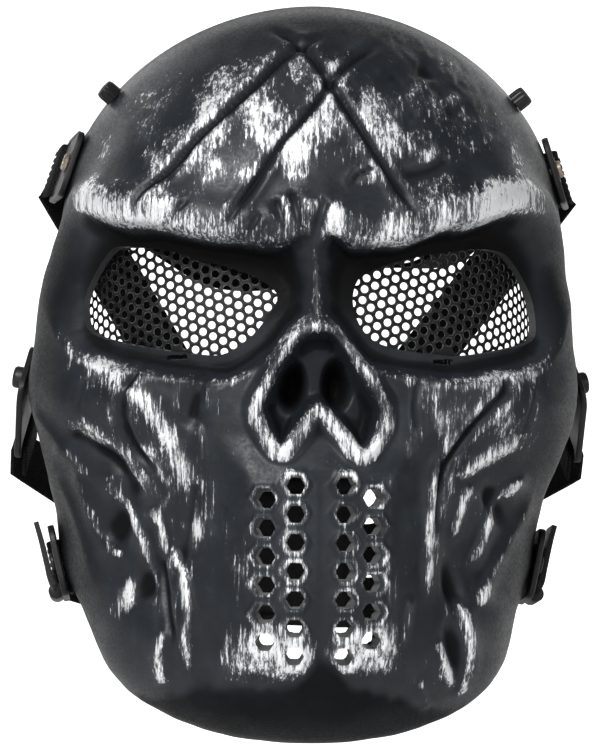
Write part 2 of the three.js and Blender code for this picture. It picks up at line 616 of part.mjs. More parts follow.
// The eye screens follow the inside of the shell and run on behind the edges of the openings.
for (const [label, eye] of Object.entries(EYES)) {
  const middle = { x: (eye.side * EYE_SPREAD) / 2, z: eye.rise };
  const wide = 1 + (2 * SCREEN_LAP) / EYE_WIDTH;
  const tall = 1 + (2 * SCREEN_LAP) / EYE_HEIGHT;
  const edge = eye.points.map(
    (p) => new THREE.Vector3(middle.x + (p.x - middle.x) * wide, 0, middle.z + (p.z - middle.z) * tall),
  );
  const places = grid((across, down) => onFace(across, down, WALL));
  const close = (p) => p.y < CUT_BACK && outsideOf(edge, p.x, p.z) < SCREEN_LAP * 2;
  const rows = places.map((row) => row.some(close));
  const columns = acrosses.map((_, j) => places.some((row) => close(row[j])));
  const evenly = (lines, used) => {
    const first = lines[Math.max(used.indexOf(true) - 1, 0)];
    const last = lines[Math.min(used.lastIndexOf(true) + 1, lines.length - 1)];
    return Array.from({ length: SCREEN_FACETS + 1 }, (_, i) => lerp(first, last, i / SCREEN_FACETS));
  };
  const patch = (behind) =>
    evenly(downs, rows).map((down) =>
      evenly(acrosses, columns).map((across) => {
        const plain = plainFace(across, down);
        return plain.addScaledVector(outward(across, down), -socketDepth(plain.z, eye) - behind);
      }),
    );
  let screen = solid(slab(patch(WALL + GAP), patch(WALL + GAP + SCREEN_THICK)));
  screen = screen.intersect(prism(edge, CUT_FRONT, CUT_BACK));
  const tilt = radians(eye.side * SCREEN_TILT_DEGREES);
  const reach = Math.ceil(EYE_WIDTH / SCREEN_PITCH);
  for (let row = -reach; row <= reach; row++) {
    for (let i = -reach; i <= reach; i++) {
      const a = (i + (row % 2 ? 0.5 : 0)) * SCREEN_PITCH;
      const b = row * SCREEN_PITCH * Math.sin(Math.PI / 3);
      const x = middle.x + a * Math.cos(tilt) - b * Math.sin(tilt);
      const z = middle.z + a * Math.sin(tilt) + b * Math.cos(tilt);
      if (outsideOf(eye.points, x, z) > -SCREEN_HOLE * 0.3) continue;
      screen = screen.subtract(prism(hexagon(x, z, SCREEN_HOLE / 2, tilt), CUT_FRONT, CUT_BACK));
    }
  }
  piece("eye_screen_" + label, shape(screen), SCREEN_STEEL);
}

// The plates with their screws, and the folded end of each strap.
const folds = {};
for (const anchor of ANCHORS) {
  for (const { label, hand } of SIDES) {
    const frame = seat({ ...anchor, across: anchor.across * hand });
    const plateFrame = frame.clone().multiply(new THREE.Matrix4().makeTranslation(0, 0, -anchor.sunk));
    let plate = solid(plateShape(anchor));
    if (anchor.name === "jaw_buckle") plate = plate.add(jawLeaf({ ...anchor, hand }));
    piece(anchor.name + "_" + label, shape(plate).applyMatrix4(plateFrame), BLACK_PLASTIC);
    const screw = screwShape(anchor).applyMatrix4(frame);
    if (anchor.name === "temple_plate") piece("temple_rivet_" + label, screw, RIVET_STEEL);
    else piece(anchor.name + "_screw_" + label, screw, BLACK_STEEL);
    const boreRadius = SCREW_SHANK / 2 + GAP * 1.5;
    const bore = new THREE.CylinderGeometry(boreRadius, boreRadius, 6 * WALL, 6);
    shell = shell.subtract(solid(bore.rotateX(Math.PI / 2).applyMatrix4(frame)));
    folds[anchor.name + label] = foldPlaces(plateFrame, anchor.reach);
  }
}
piece("shell", shape(shell.simplify(SMALLEST_RELIEF)), SHELL_PLASTIC);

// The pad behind the head.
const pad = roundedRectangle(-PAD_WIDTH / 2, PAD_WIDTH / 2, -PAD_HEIGHT / 2, PAD_HEIGHT / 2, PAD_CORNER);
const padShape = new THREE.ExtrudeGeometry(pad, { depth: PAD_THICK, bevelEnabled: false, curveSegments: 4 });
piece("back_pad", padShape.rotateX(Math.PI / 2).translate(0, PAD_BACK + PAD_THICK, -PAD_DROP), PAD_FOAM);

// The straps to the pad run nearly straight from their plates and are sewn on over its back.
// end and inset place the end from the pad's middle and side as shares of the pad, slope turns it,
// and bow is how far a strap stands out at its middle, as a share of its run.
const STRAPS = [
  { name: "upper_strap", anchor: "temple_plate", end: 0.52, inset: 0.13, slope: 60, bow: -0.025 },
  { name: "ear_strap", anchor: "ear_buckle", end: 0.02, inset: 0, slope: 0, bow: 0.04 },
  { name: "lower_strap", anchor: "jaw_buckle", end: -0.335, inset: 0, slope: 0, bow: 0.04 },
];
const STRAP_STEPS = 8;
for (const { name, anchor, end, inset, slope, bow } of STRAPS) {
  for (const { label, hand } of SIDES) {
    const fold = folds[anchor + label];
    const start = fold.at(-1);
    const angle = radians(slope);
    const across = new THREE.Vector3(-Math.sin(angle), 0, hand * Math.cos(angle));
    const level = PAD_BACK + PAD_THICK + GAP + WEBBING_THICK / 2;
    const over = (inwards) => ({
      point: new THREE.Vector3(
        hand * (PAD_WIDTH * (0.5 - inset) - inwards * Math.cos(angle)),
        level,
        -PAD_DROP + end * PAD_HEIGHT - inwards * Math.sin(angle),
      ),
      width: across,
    });
    const edge = over(-WEBBING_THICK * 3 - WEBBING_WIDTH * 0.5 * Math.sin(angle));
    const length = start.point.distanceTo(edge.point);
    const width = start.width.clone().add(across).normalize();
    const out = edge.point.clone().sub(start.point).cross(width).normalize();
    const middle = start.point.clone().lerp(edge.point, 0.5).addScaledVector(out, length * bow);
    const stops = [start, { point: middle, width }, edge, over(SEW_ON * 0.3), over(SEW_ON)];
    piece(name + "_" + label, band([...fold.slice(0, -1), ...run(stops, STRAP_STEPS)]), WEBBING);
  }
}

// The crown strap hangs in a bow behind the head, from one top plate to the other. Each stop is a
// turn round the head in degrees, its share of the rise from the lowest place to the plates, and
// how far the band is turned over from upright to flat.
const CROWN_STOPS = [
  [72, 0.7, 0], [50, 0.36, 0], [36, 0.17, 0], [22, 0.01, 0], [0, 0, 0.3],
  [-23, 0, 1], [-46, 0.02, 1], [-60, 0.2, 1], [-74, 0.66, 0.8],
];
const CROWN_STEPS = 24;
const leftFold = folds.top_plateleft;
const rightFold = folds.top_plateright;
const crownStart = leftFold.at(-1).point;
const crownStops = CROWN_STOPS.map(([degrees, rise, flat]) => {
  const share = Math.abs(degrees) / 90;
  const turn = radians(degrees);
  const point = new THREE.Vector3(
    crownStart.x * 0.96 * Math.sin(turn),
    CROWN_BACK * Math.cos(turn) ** 0.8 + crownStart.y * share ** 3,
    CROWN_HEIGHT + (crownStart.z - CROWN_HEIGHT) * rise,
  );
  const upright = new THREE.Vector3(Math.sin(turn) * -0.5 * share, -0.2 * share, -1).normalize();
  return { point, width: upright.lerp(new THREE.Vector3(-Math.sin(turn), Math.cos(turn), 0), flat).normalize() };
});
const flip = ({ point, width }) => ({ point, width: width.clone().negate() });
const crown = run([leftFold.at(-1), ...crownStops, flip(rightFold.at(-1))], CROWN_STEPS);
const crownPlaces = [...leftFold.slice(0, -1), ...crown, ...rightFold.slice(0, -1).reverse().map(flip)];
piece("crown_strap", band(crownPlaces), WEBBING);

// The origin is where the forehead bears, inside the shell on its middle line.
const BEARING_DOWN = 0.24;
const bearing = onFace(0, BEARING_DOWN, WALL);
mask.position.copy(bearing.negate());
const part = new THREE.Group();
part.add(mask);

export default part;
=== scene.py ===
# %% [markdown]
# # A skull mask with eye screens and a strap harness
# The mask is a thin moulded shell, painted dark gunmetal and rubbed over with silver, with
# perforated steel behind the eyes and straps that hold it on a head. The solids of the packed
# model give every place and size. Here each one gets its real surface: the face is worked out
# again from its sections, with the carving that the solids leave out.

# %% Load the frame
import math

import bpy
import numpy as np
from mathutils import Matrix, Vector


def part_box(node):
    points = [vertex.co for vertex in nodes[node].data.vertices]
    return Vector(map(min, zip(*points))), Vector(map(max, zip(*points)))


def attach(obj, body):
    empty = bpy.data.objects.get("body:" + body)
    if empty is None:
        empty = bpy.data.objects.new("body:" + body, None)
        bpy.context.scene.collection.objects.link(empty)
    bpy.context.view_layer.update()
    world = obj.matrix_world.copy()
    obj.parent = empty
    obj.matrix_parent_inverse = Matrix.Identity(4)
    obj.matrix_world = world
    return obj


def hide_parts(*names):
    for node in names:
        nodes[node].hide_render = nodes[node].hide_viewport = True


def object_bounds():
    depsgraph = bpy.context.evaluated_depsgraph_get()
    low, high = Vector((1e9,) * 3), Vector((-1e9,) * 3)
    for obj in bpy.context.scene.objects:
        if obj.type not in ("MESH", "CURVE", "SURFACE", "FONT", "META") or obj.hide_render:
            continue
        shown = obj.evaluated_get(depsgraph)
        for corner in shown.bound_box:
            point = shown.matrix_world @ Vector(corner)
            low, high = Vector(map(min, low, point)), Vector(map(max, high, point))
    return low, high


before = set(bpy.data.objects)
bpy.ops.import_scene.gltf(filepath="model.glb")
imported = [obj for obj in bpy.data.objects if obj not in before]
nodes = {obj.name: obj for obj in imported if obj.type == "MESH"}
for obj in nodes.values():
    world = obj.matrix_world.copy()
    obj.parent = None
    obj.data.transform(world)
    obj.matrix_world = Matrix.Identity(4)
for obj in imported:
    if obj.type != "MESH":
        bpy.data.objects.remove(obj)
cad_box = [[float(v) for v in corner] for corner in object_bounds()]
print("solids:", len(nodes), "box in metres:", np.round(cad_box, 4).tolist())

# %% [markdown]
# ## Small tools for working with whole arrays
# A carved face is many soft steps, bells and lumps added together. Each tool takes arrays of
# places and gives an array back, so a hundred thousand points cost one line.

# %% Soft steps, bells and lumps
def soft_step(x, low, high):
    """0 below low, 1 above high, and 3t^2 - 2t^3 between them, with t the share of the way."""
    t = np.clip((x - low) / (high - low), 0, 1)
    return t * t * (3 - 2 * t)


def bell(distance, width):
    """exp(-(distance / width)^2): 1 in the middle and about a third at one width."""
    return np.exp(-((distance / width) ** 2))


def lumps(x, z, size, seed):
    """Values from -1 to 1 at the corners of squares of that size, blended smoothly in between."""
    a, b = x / size, z / size
    i, j = np.floor(a), np.floor(b)
    s, t = soft_step(a - i, 0, 1), soft_step(b - j, 0, 1)

    def corner(p, q):
        value = np.sin(p * 127.1 + q * 311.7 + seed * 74.7) * 43758.5453
        return 2 * (value - np.floor(value)) - 1

    low = corner(i, j) * (1 - s) + corner(i + 1, j) * s
    high = corner(i, j + 1) * (1 - s) + corner(i + 1, j + 1) * s
    return low * (1 - t) + high * t


def round_line(points, steps=5):
    """The drawn points joined by a Catmull-Rom curve, with some steps between each two."""
    p = np.asarray(points, float)
    p = np.vstack([2 * p[0] - p[1], p, 2 * p[-1] - p[-2]])
    t = np.linspace(0, 1, steps, endpoint=False)[:, None]
    a, b, c, d = (p[k : len(p) - 3 + k][:, None] for k in range(4))
    curve = 0.5 * (2 * b + (c - a) * t + (2 * a - 5 * b + 4 * c - d) * t**2 + (3 * b - a - 3 * c + d) * t**3)
    return np.vstack([curve.reshape(-1, p.shape[1]), p[-2]])


def to_line(x, z, line):
    """For each place: its distance to the line, signed by its side, and its share along it."""
    best = np.full(np.shape(x), 1e9)
    side = np.ones(np.shape(x))
    share = np.zeros(np.shape(x))
    count = len(line) - 1
    for k in range(count):
        (ax, az), (bx, bz) = line[k], line[k + 1]
        dx, dz = bx - ax, bz - az
        t = np.clip(((x - ax) * dx + (z - az) * dz) / (dx * dx + dz * dz), 0, 1)
        away = np.hypot(x - ax - t * dx, z - az - t * dz)
        nearer = away < best
        best = np.where(nearer, away, best)
        side = np.where(nearer, np.sign(dx * (z - az) - dz * (x - ax)), side)
        share = np.where(nearer, (k + t) / count, share)
    return best * side, share


def outside_of(x, z, outline):
    """The distance to a closed outline, negative inside it."""
    closed = np.vstack([outline, outline[:1]])
    away = np.abs(to_line(x, z, closed)[0])
    inside = np.zeros(np.shape(x), bool)
    for (ax, az), (bx, bz) in zip(closed[:-1], closed[1:]):
        if az != bz:
            crosses = ((az > z) != (bz > z)) & (x < (bx - ax) * (z - az) / (bz - az) + ax)
            inside ^= crosses
    return np.where(inside, -away, away)


# %% [markdown]
# ## The plain face
# Before any carving the shell is a smooth wrap. It is a fan of sections from the crown to the
# chin, and each section is a squared-off arc from the nose line round to the ear. One
# formula gives every point, so the same places can be found again for eyes, plates and straps.

# %% The sections and the plain face
MM = 0.001
HEIGHT = 262
HALF = 99
DEPTH = 112
WRAP = math.radians(106)
WALL = 2.6
GAP = 0.3
# Shares: middle depth, middle height, side width, side depth, side height, squareness, lean.
SECTIONS = np.array([
    [0.268, 0.41, 0.909, 0.107, 0.122, 1.92, 0.032],
    [0.554, 0.38, 0.919, 0.107, 0.095, 1.94, 0.03],
    [0.786, 0.319, 0.932, 0.125, 0.057, 1.98, 0.024],
    [0.929, 0.229, 0.956, 0.161, 0.019, 2.1, 0.006],
    [0.982, 0.137, 0.97, 0.196, -0.023, 2.25, 0],
    [0.973, 0.038, 0.98, 0.223, -0.069, 2.3, 0],
    [0.955, -0.076, 0.998, 0.223, -0.126, 2.2, 0],
    [0.982, -0.198, 0.949, 0.205, -0.198, 2.1, -0.005],
    [1, -0.321, 0.885, 0.179, -0.282, 2.05, -0.012],
    [0.991, -0.439, 0.863, 0.161, -0.344, 2.1, -0.014],
    [0.92, -0.527, 0.818, 0.161, -0.385, 2.12, -0.008],
    [0.75, -0.576, 0.782, 0.161, -0.408, 2.15, 0.002],
    [0.536, -0.592, 0.758, 0.161, -0.42, 2.2, 0.012],
])


def section(down):
    """The seven shares at a share of the way down, by a Catmull-Rom curve through the table."""
    last = len(SECTIONS) - 1
    place = np.clip(down, 0, 1) * last
    i = np.minimum(np.floor(place).astype(int), last - 1)
    t = (place - i)[..., None]
    b, c = SECTIONS[i], SECTIONS[i + 1]
    a = np.where((i > 0)[..., None], SECTIONS[np.maximum(i - 1, 0)], 2 * b - c)
    d = np.where((i < last - 1)[..., None], SECTIONS[np.minimum(i + 2, last)], 2 * c - b)
    return 0.5 * (2 * b + (c - a) * t + (2 * a - 5 * b + 4 * c - d) * t**2 + (3 * b - a - 3 * c + d) * t**3)


def plain_face(across, down):
    """A squared arc: sine and cosine of the turn, stretched so that |s|^n + |c|^n = 1."""
    across, down = np.broadcast_arrays(np.asarray(across, float), np.asarray(down, float))
    share = section(down)
    s, c = np.sin(across * WRAP), np.cos(across * WRAP)
    n = share[..., 5]
    k = (np.abs(s) ** n + np.abs(c) ** n) ** (-1 / n)
    side, middle = -share[..., 3] * DEPTH, -share[..., 0] * DEPTH
    side_high, middle_high = share[..., 4] * HEIGHT, share[..., 1] * HEIGHT
    return np.stack([
        (share[..., 2] * s * k + share[..., 6]) * HALF,
        side + (middle - side) * c * k,
        side_high + (middle_high - side_high) * c * k,
    ], -1)


def outward(across, down):
    """The cross product of a short step down and a short step across, as a unit vector."""
    step = 0.004
    sideways = plain_face(across + step, down) - plain_face(across - step, down)
    downwards = plain_face(across, down + step) - plain_face(across, down - step)
    out = np.cross(downwards, sideways)
    return out / np.linalg.norm(out, axis=-1, keepdims=True)


BEARING_DOWN = 0.24
middle_line, bearing_down = np.array(0.0), np.array(BEARING_DOWN)
BEARING = plain_face(middle_line, bearing_down) - WALL * outward(middle_line, bearing_down)
print("the forehead bears at, in mm:", np.round(BEARING, 2).tolist())


# %% [markdown]
# ## Outlines on the front view
# The eye openings, the nose and the breath holes are drawn flat, as seen from the front, and
# cut straight through. A list of a few points and a round curve through them is
# enough, and the same outlines shape the hollows round them.

# %% Eyes, nose and breath holes
EYE_WIDTH, EYE_HEIGHT, EYE_SPREAD = 66.5, 37.6, 91.6
LEFT_EYE = np.array([
    [1, -0.31], [0.97, 0.2], [0.75, 0.9], [0.56, 1], [0.1, 0.89], [-0.27, 0.71], [-0.72, 0.46],
    [-0.98, 0.12], [-0.88, -0.27], [-0.73, -0.62], [-0.52, -0.9], [-0.3, -1], [0.3, -0.88],
    [0.68, -0.76], [0.92, -0.6],
])
RIGHT_EYE = np.array([
    [1, -0.35], [0.94, 0.2], [0.72, 0.8], [0.5, 0.98], [0.12, 0.94], [-0.33, 0.8], [-0.67, 0.64],
    [-0.94, 0.38], [-1, -0.05], [-0.93, -0.45], [-0.78, -0.74], [-0.5, -0.9], [-0.13, -0.97],
    [0.17, -1], [0.62, -0.88], [0.95, -0.7],
])


def closed_line(points, steps=5):
    """A round curve through points that closes on itself."""
    points = np.asarray(points, float)
    around = np.vstack([points[-2:], points, points[:3]])
    return round_line(around, steps)[2 * steps : (2 + len(points)) * steps]


def eye_outline(shares, side, rise):
    """The shares of the half width and half height, set round the middle of the opening."""
    x = side * (EYE_SPREAD + shares[:, 0] * EYE_WIDTH) / 2
    z = rise + shares[:, 1] * EYE_HEIGHT / 2
    return closed_line(np.stack([x, z], 1), 3)


EYES = {
    "left": {"side": -1, "rise": -0.4, "outline": eye_outline(LEFT_EYE, -1, -0.4)},
    "right": {"side": 1, "rise": 0.3, "outline": eye_outline(RIGHT_EYE, 1, 0.3)},
}
NOSE = closed_line([
    (0.8, -9.5), (8, -12), (14.5, -23), (20.5, -32), (22.6, -37.5), (20.6, -46), (15.2, -51.5),
    (9, -45), (0.6, -36.5), (-5, -42.5), (-11.5, -50.5), (-16, -46), (-19.6, -37.5), (-17.6, -31),
    (-12, -22), (-7.5, -12.5),
], 3)
HOLE = 6.7 / 2
PITCH = 9.62
HOLE_COLUMNS = [(-17.2, -67.4, 6), (-7.2, -62.6, 7), (9.6, -62.6, 7), (18.8, -66.6, 6)]
HOLES = np.array([(x, top - k * PITCH) for x, top, count in HOLE_COLUMNS for k in range(count)])


SLOTS = {"left": (-46.6, -19.9, 3.0, 0.85), "right": (43.6, -20.4, 3.1, 0.9)}


def off_slot(x, z, slot):
    """The distance to the small slot under an eye, negative inside it."""
    middle_x, middle_z, half_width, half_height = slot
    return np.maximum(np.abs(x - middle_x) - half_width, np.abs(z - middle_z) - half_height)


def outside_hexagons(x, z):
    """The distance to the nearest six-sided hole, with a corner at its left and right."""
    best = np.full(np.shape(x), 1e9)
    flat = HOLE * math.cos(math.pi / 6)
    for hole_x, hole_z in HOLES:
        dx, dz = np.abs(x - hole_x), np.abs(z - hole_z)
        best = np.minimum(best, np.maximum(dz, dx * math.cos(math.pi / 6) + dz * 0.5) - flat)
    return best


print("breath holes:", len(HOLES), "eye outline points:", len(EYES["left"]["outline"]))

# %% [markdown]
# ## The carving
# The relief is a height in millimetres over the plain face. The big forms are the same as in
# the solids: sockets, brow, nose rim, muzzle and cheekbones. Over them come the scored lines
# of the forehead, the creases between the eyes and the torn folds of the cheeks, each drawn as
# a line with a depth and a width. A line is quick to move when it doesn't sit right.

# %% The big forms
BROW_LINE = [
    (-0.99, 0.06), (-0.86, 0.118), (-0.65, 0.099), (-0.33, 0.077), (-0.16, 0.07), (0.02, 0.085), (0.13, 0.07),
    (0.27, 0.074), (0.49, 0.098), (0.72, 0.123), (0.84, 0.118), (0.99, 0.06),
]
MOUNDS = [
    ("cheekbone", 0.7, -0.135, 0.2, 0.042, 4), ("cheekbone end", 0.88, -0.17, 0.12, 0.06, 2.4),
    ("cheek hollow", 0.62, -0.33, 0.2, 0.12, -7), ("jaw line", 0.66, -0.5, 0.16, 0.07, 2),
    ("temple", 0.87, 0.22, 0.1, 0.1, -4),
]


def brow_height(x):
    """The height of the brow's lower edge, eased between the drawn points."""
    share = x / HALF
    height = np.full(np.shape(x), BROW_LINE[0][1])
    for (a, low), (b, high) in zip(BROW_LINE[:-1], BROW_LINE[1:]):
        height = np.where(share >= a, low + (high - low) * soft_step(share, a, b), height)
    return HEIGHT * height


def mound(x, z, middle_x, middle_z, wide, tall):
    """exp(-dx^2 - dz^2), with both distances in half widths of the mound."""
    return np.exp(-(((x / HALF - middle_x) / wide) ** 2) - ((z / HEIGHT - middle_z) / tall) ** 2)


def socket_depth(z, eye):
    """7 mm behind the plain face at the lower lid and 14 mm under the brow."""
    return 7 + 7 * soft_step(z, eye["rise"] - EYE_HEIGHT / 2, eye["rise"] + EYE_HEIGHT / 2)


def hollows(x, z):
    """What is let in, inside and outside alike: the sockets, the nose and the soft hollows."""
    depth = np.zeros(np.shape(x))
    for eye in EYES.values():
        away = outside_of(x, z, eye["outline"])
        up = soft_step(z, eye["rise"] - EYE_HEIGHT / 2, eye["rise"] + EYE_HEIGHT / 2)
        band = EYE_HEIGHT * (0.17 + 0.33 * up)
        reach = 1 - soft_step(away, 3.5, 3.5 + band)
        under_brow = soft_step(brow_height(x) - z, -1.5, 6)
        depth = np.maximum(depth, socket_depth(z, eye) * np.minimum(reach, under_brow))
    nose = outside_of(x, z, NOSE)
    pocket = 5.5 * soft_step(-nose, 0.2, 6)
    for middle in (-8.8, 7.2):
        oval = np.hypot((x - middle) / 6.2, (z + 28.5) / 10)
        pocket = pocket + 10 * (1 - soft_step(oval, 0.25, 1.05))
    total = -depth - pocket
    for _, mx, mz, wide, tall, rise in MOUNDS:
        if rise < 0:
            total = total + rise * mound(np.abs(x), z, mx, mz, wide, tall)
    return total


def swellings(x, z):
    """What stands proud: the brow, the bridge, the rim of the nose, the muzzle and the bones."""
    above = z - brow_height(x)
    brow = bell(above - 7, 8) * soft_step(HALF * 0.96 - np.abs(x), 0, HALF * 0.12)
    bridge = mound(x, z, 0, -0.01, 0.1, 0.08)
    nose = outside_of(x, z, NOSE)
    rim = (1 - soft_step(nose, 0.3, 6.5)) * soft_step(nose, -5, 0.2)
    muzzle = soft_step(HALF * 0.36 - np.abs(x - 1), 0, HALF * 0.13)
    muzzle = muzzle * soft_step(z, -0.52 * HEIGHT, -0.46 * HEIGHT)
    muzzle = muzzle * soft_step(-z, 0.17 * HEIGHT, 0.24 * HEIGHT)
    total = 4 * brow + 3 * bridge + 3.5 * rim + 4.5 * muzzle
    for _, mx, mz, wide, tall, rise in MOUNDS:
        if rise > 0:
            total = total + rise * mound(np.abs(x), z, mx, mz, wide, tall)
    return total


# %% The scored lines, creases and folds
# Each groove is its points, its depth and its half width. All in millimetres on the front view.
GROOVES = [
    ([(-18, 97), (-5, 88), (4, 75), (12, 62), (20, 49), (26, 39), (31, 31)], 1.7, 1.7),
    ([
        (24, 91), (14, 84), (4, 75), (1, 70), (-6, 61), (-13, 53), (-20, 42), (-27, 31), (-33, 21),
    ], 1.7, 1.6),
    ([
        (5, 93), (-5, 88), (-13, 82), (-20, 75), (-33, 63), (-42, 54), (-51, 43), (-58, 36), (-63, 25),
    ], 1.7, 1.6),
    ([(-43, 33), (-48, 28), (-52, 22)], 1.3, 1.3),
    ([(-20, 29), (-22, 25), (-25, 20)], 1.3, 1.2),
    ([(19, 45), (14, 43), (11, 40)], 1, 1.2),
    ([(45, 49), (38, 45), (28, 42)], 0.9, 2.4),
    ([(55, 41), (54, 36)], 0.9, 1),
    ([(-15, 34), (-13, 29), (-11, 21)], 1.4, 1.8),
    ([(-10, 37), (-8, 29), (-6, 18)], 1.6, 2),
    ([(2, 34), (0, 27), (-3, 18)], 1.6, 2.2),
    ([(-59, -21), (-63, -30), (-64, -36), (-64, -43), (-62, -51), (-57, -58)], 1.7, 1.7),
    ([(-38, -24), (-41, -34), (-43, -41)], 1.6, 3),
    ([(-77, -27), (-78, -37)], 0.7, 1.2),
    ([(65, -24), (65, -30), (57, -39), (50, -49), (46, -56), (44, -64)], 1.8, 1.8),
    ([(76, -28), (73, -37), (72, -44)], 0.7, 1),
    ([(36, -23), (34, -35), (35, -44)], 1, 1.6),
    ([(45, -52), (43, -65), (43, -78)], 1.2, 1.6),
    ([(-55, -88), (-52, -103), (-48, -116)], 1.5, 1.8),
    ([(-83, -45), (-76, -51), (-69, -58), (-63, -70)], 2.2, 3.4),
    ([(-41, -60), (-45, -80), (-50, -100)], 1.2, 3),
]
# Each fold is its points, its rise and how far it runs out on its left and on its right.
FOLDS = [
    ([(-97, -35), (-90, -42), (-84, -51), (-79, -58), (-76, -64)], 1.3, 1.6, 4),
    ([(-88, -60), (-84, -69), (-81, -81), (-77, -102)], 1.6, 1.7, 4),
    ([(-81, -58), (-78, -72), (-74, -84), (-68, -91)], 2.2, 1.6, 4),
    ([(-71, -65), (-66, -75), (-62, -83), (-59, -93), (-55, -101)], 2.2, 1.6, 3.5),
    ([(-59, -71), (-55, -79), (-53, -89)], 1.6, 1.6, 3.5),
    ([(-52, -84), (-48, -90), (-45, -96), (-43, -106), (-43, -119), (-40, -132)], 2.4, 1.6, 5),
    ([(-50, -111), (-52, -120), (-51, -128), (-49, -132)], 1.6, 1.6, 3),
    ([(-40, -41), (-39, -49), (-38, -56)], 0.9, 1, 2.4),
    ([(41, -52), (41, -71), (40, -86), (40, -106)], 1.5, 3.6, 1.8),
    ([(78, -59), (69, -68), (64, -83), (58, -92)], 2.2, 4, 1.6),
    ([(56, -62), (54, -71), (51, -83)], 1.6, 3, 1.6),
    ([(82, -65), (73, -84), (65, -99), (63, -107)], 2, 4, 1.8),
    ([(33, -99), (31, -110), (29, -118)], 1.2, 2, 1.6),
    ([(43, -116), (46, -124), (49, -134)], 1.5, 2.6, 1.6),
    ([(36, -128), (41, -141)], 0.8, 1.4, 1.4),
    ([(53, -99), (56, -114), (54, -127), (50, -139)], 2, 4, 1.6),
    ([(72, -47), (61, -54), (50, -61)], 1.8, 2, 3.6),
    ([(-67, -31), (-60, -33), (-54, -42), (-49, -52)], 1.2, 2, 4),
]
# Pits and scoops: middle, half width, half height, lean in degrees and depth.
SCOOPS = [
    (-61, -98, 4.4, 7.5, -20, 3.6), (-70, -77, 4, 9, -20, 3), (68, -70, 3.4, 8, 30, 3),
    (52, -98, 4, 10, 12, 3.4),
    (51, -119, 4, 9, 8, 3), (-35, -122, 6, 10, 0, 1.8), (38, 81, 5.5, 3.4, -20, 1.8),
    (43, 74, 3.6, 2.8, 10, 1.5),
    (26, 77, 4, 3, 20, 1), (33, 62, 5, 4, 0, 0.8), (47, 66, 2.4, 2.4, 0, 1.2), (-41, -38, 4, 8, 12, 1.4),
    (20, -50, 5, 10, 8, 1), (-72, -56, 5, 6, 45, 1.8),
]


def fine_carving(x, z):
    """The grooves with their raised lips, the one-sided folds, the pits and a little unevenness."""
    total = np.zeros(np.shape(x))
    for points, depth, width in GROOVES:
        away, share = to_line(x, z, round_line(points, 3))
        ends = soft_step(share, 0, 0.12) * (1 - 0.6 * soft_step(share, 0.85, 1))
        wander = 1 + 0.25 * lumps(x, z, 5, 3)
        cut = bell(away * wander, 0.78 * width) - 0.28 * bell(np.abs(away) - 1.9 * width, width)
        total = total - depth * cut * ends
    for points, rise, left, right in FOLDS:
        away, share = to_line(x, z, round_line(points, 3))
        ends = soft_step(share, 0, 0.2) * (1 - soft_step(share, 0.8, 1))
        run = np.where(away > 0, left, right)
        total = total + rise * ends * np.exp(-((np.abs(away) / run) ** 1.6))
    for mx, mz, wide, tall, lean, depth in SCOOPS:
        turn = math.radians(lean)
        dx, dz = x - mx, z - mz
        a = (dx * math.cos(turn) + dz * math.sin(turn)) / wide
        b = (dz * math.cos(turn) - dx * math.sin(turn)) / tall
        total = total - depth * np.exp(-((a * a + b * b) ** 1.3))
    rims = outside_hexagons(x, z)
    column_rise = soft_step(-z, 57, 62) * soft_step(z, -131, -123)
    total = total + 0.9 * bell(rims - 0.8, 1.1) * (rims > -1.5)
    channel = bell(x - 1.3, 4.2) + 0.5 * bell(np.abs(x - 1.3) - 27, 4)
    total = total - 1.5 * channel * column_rise
    seam = bell(z + 116.2, 0.5) * soft_step(x, 7, 9) * (1 - soft_step(x, 23, 27))
    total = total - 0.5 * seam
    rough = soft_step(z, 55, 62) * bell(x - 40, 22)
    total = total + rough * (0.55 * lumps(x, z, 4.4, 5) + 0.4 * lumps(x, z, 2.2, 6))
    uneven = 0.3 * lumps(x, z, 11, 1) + 0.16 * lumps(x, z, 5, 2)
    return total + uneven * soft_step(np.abs(x - 1) + soft_step(z, -50, -20) * 20, 8, 24)


# %% [markdown]
# ## Cutting holes in a mesh of triangles
# A boolean could cut the eyes and the breath holes, but it is slow on a fine mesh and can leave
# ragged shading. Each outline is already a signed distance, so the triangles are simply
# clipped where that distance is zero, and the open edge that is left gets a wall.

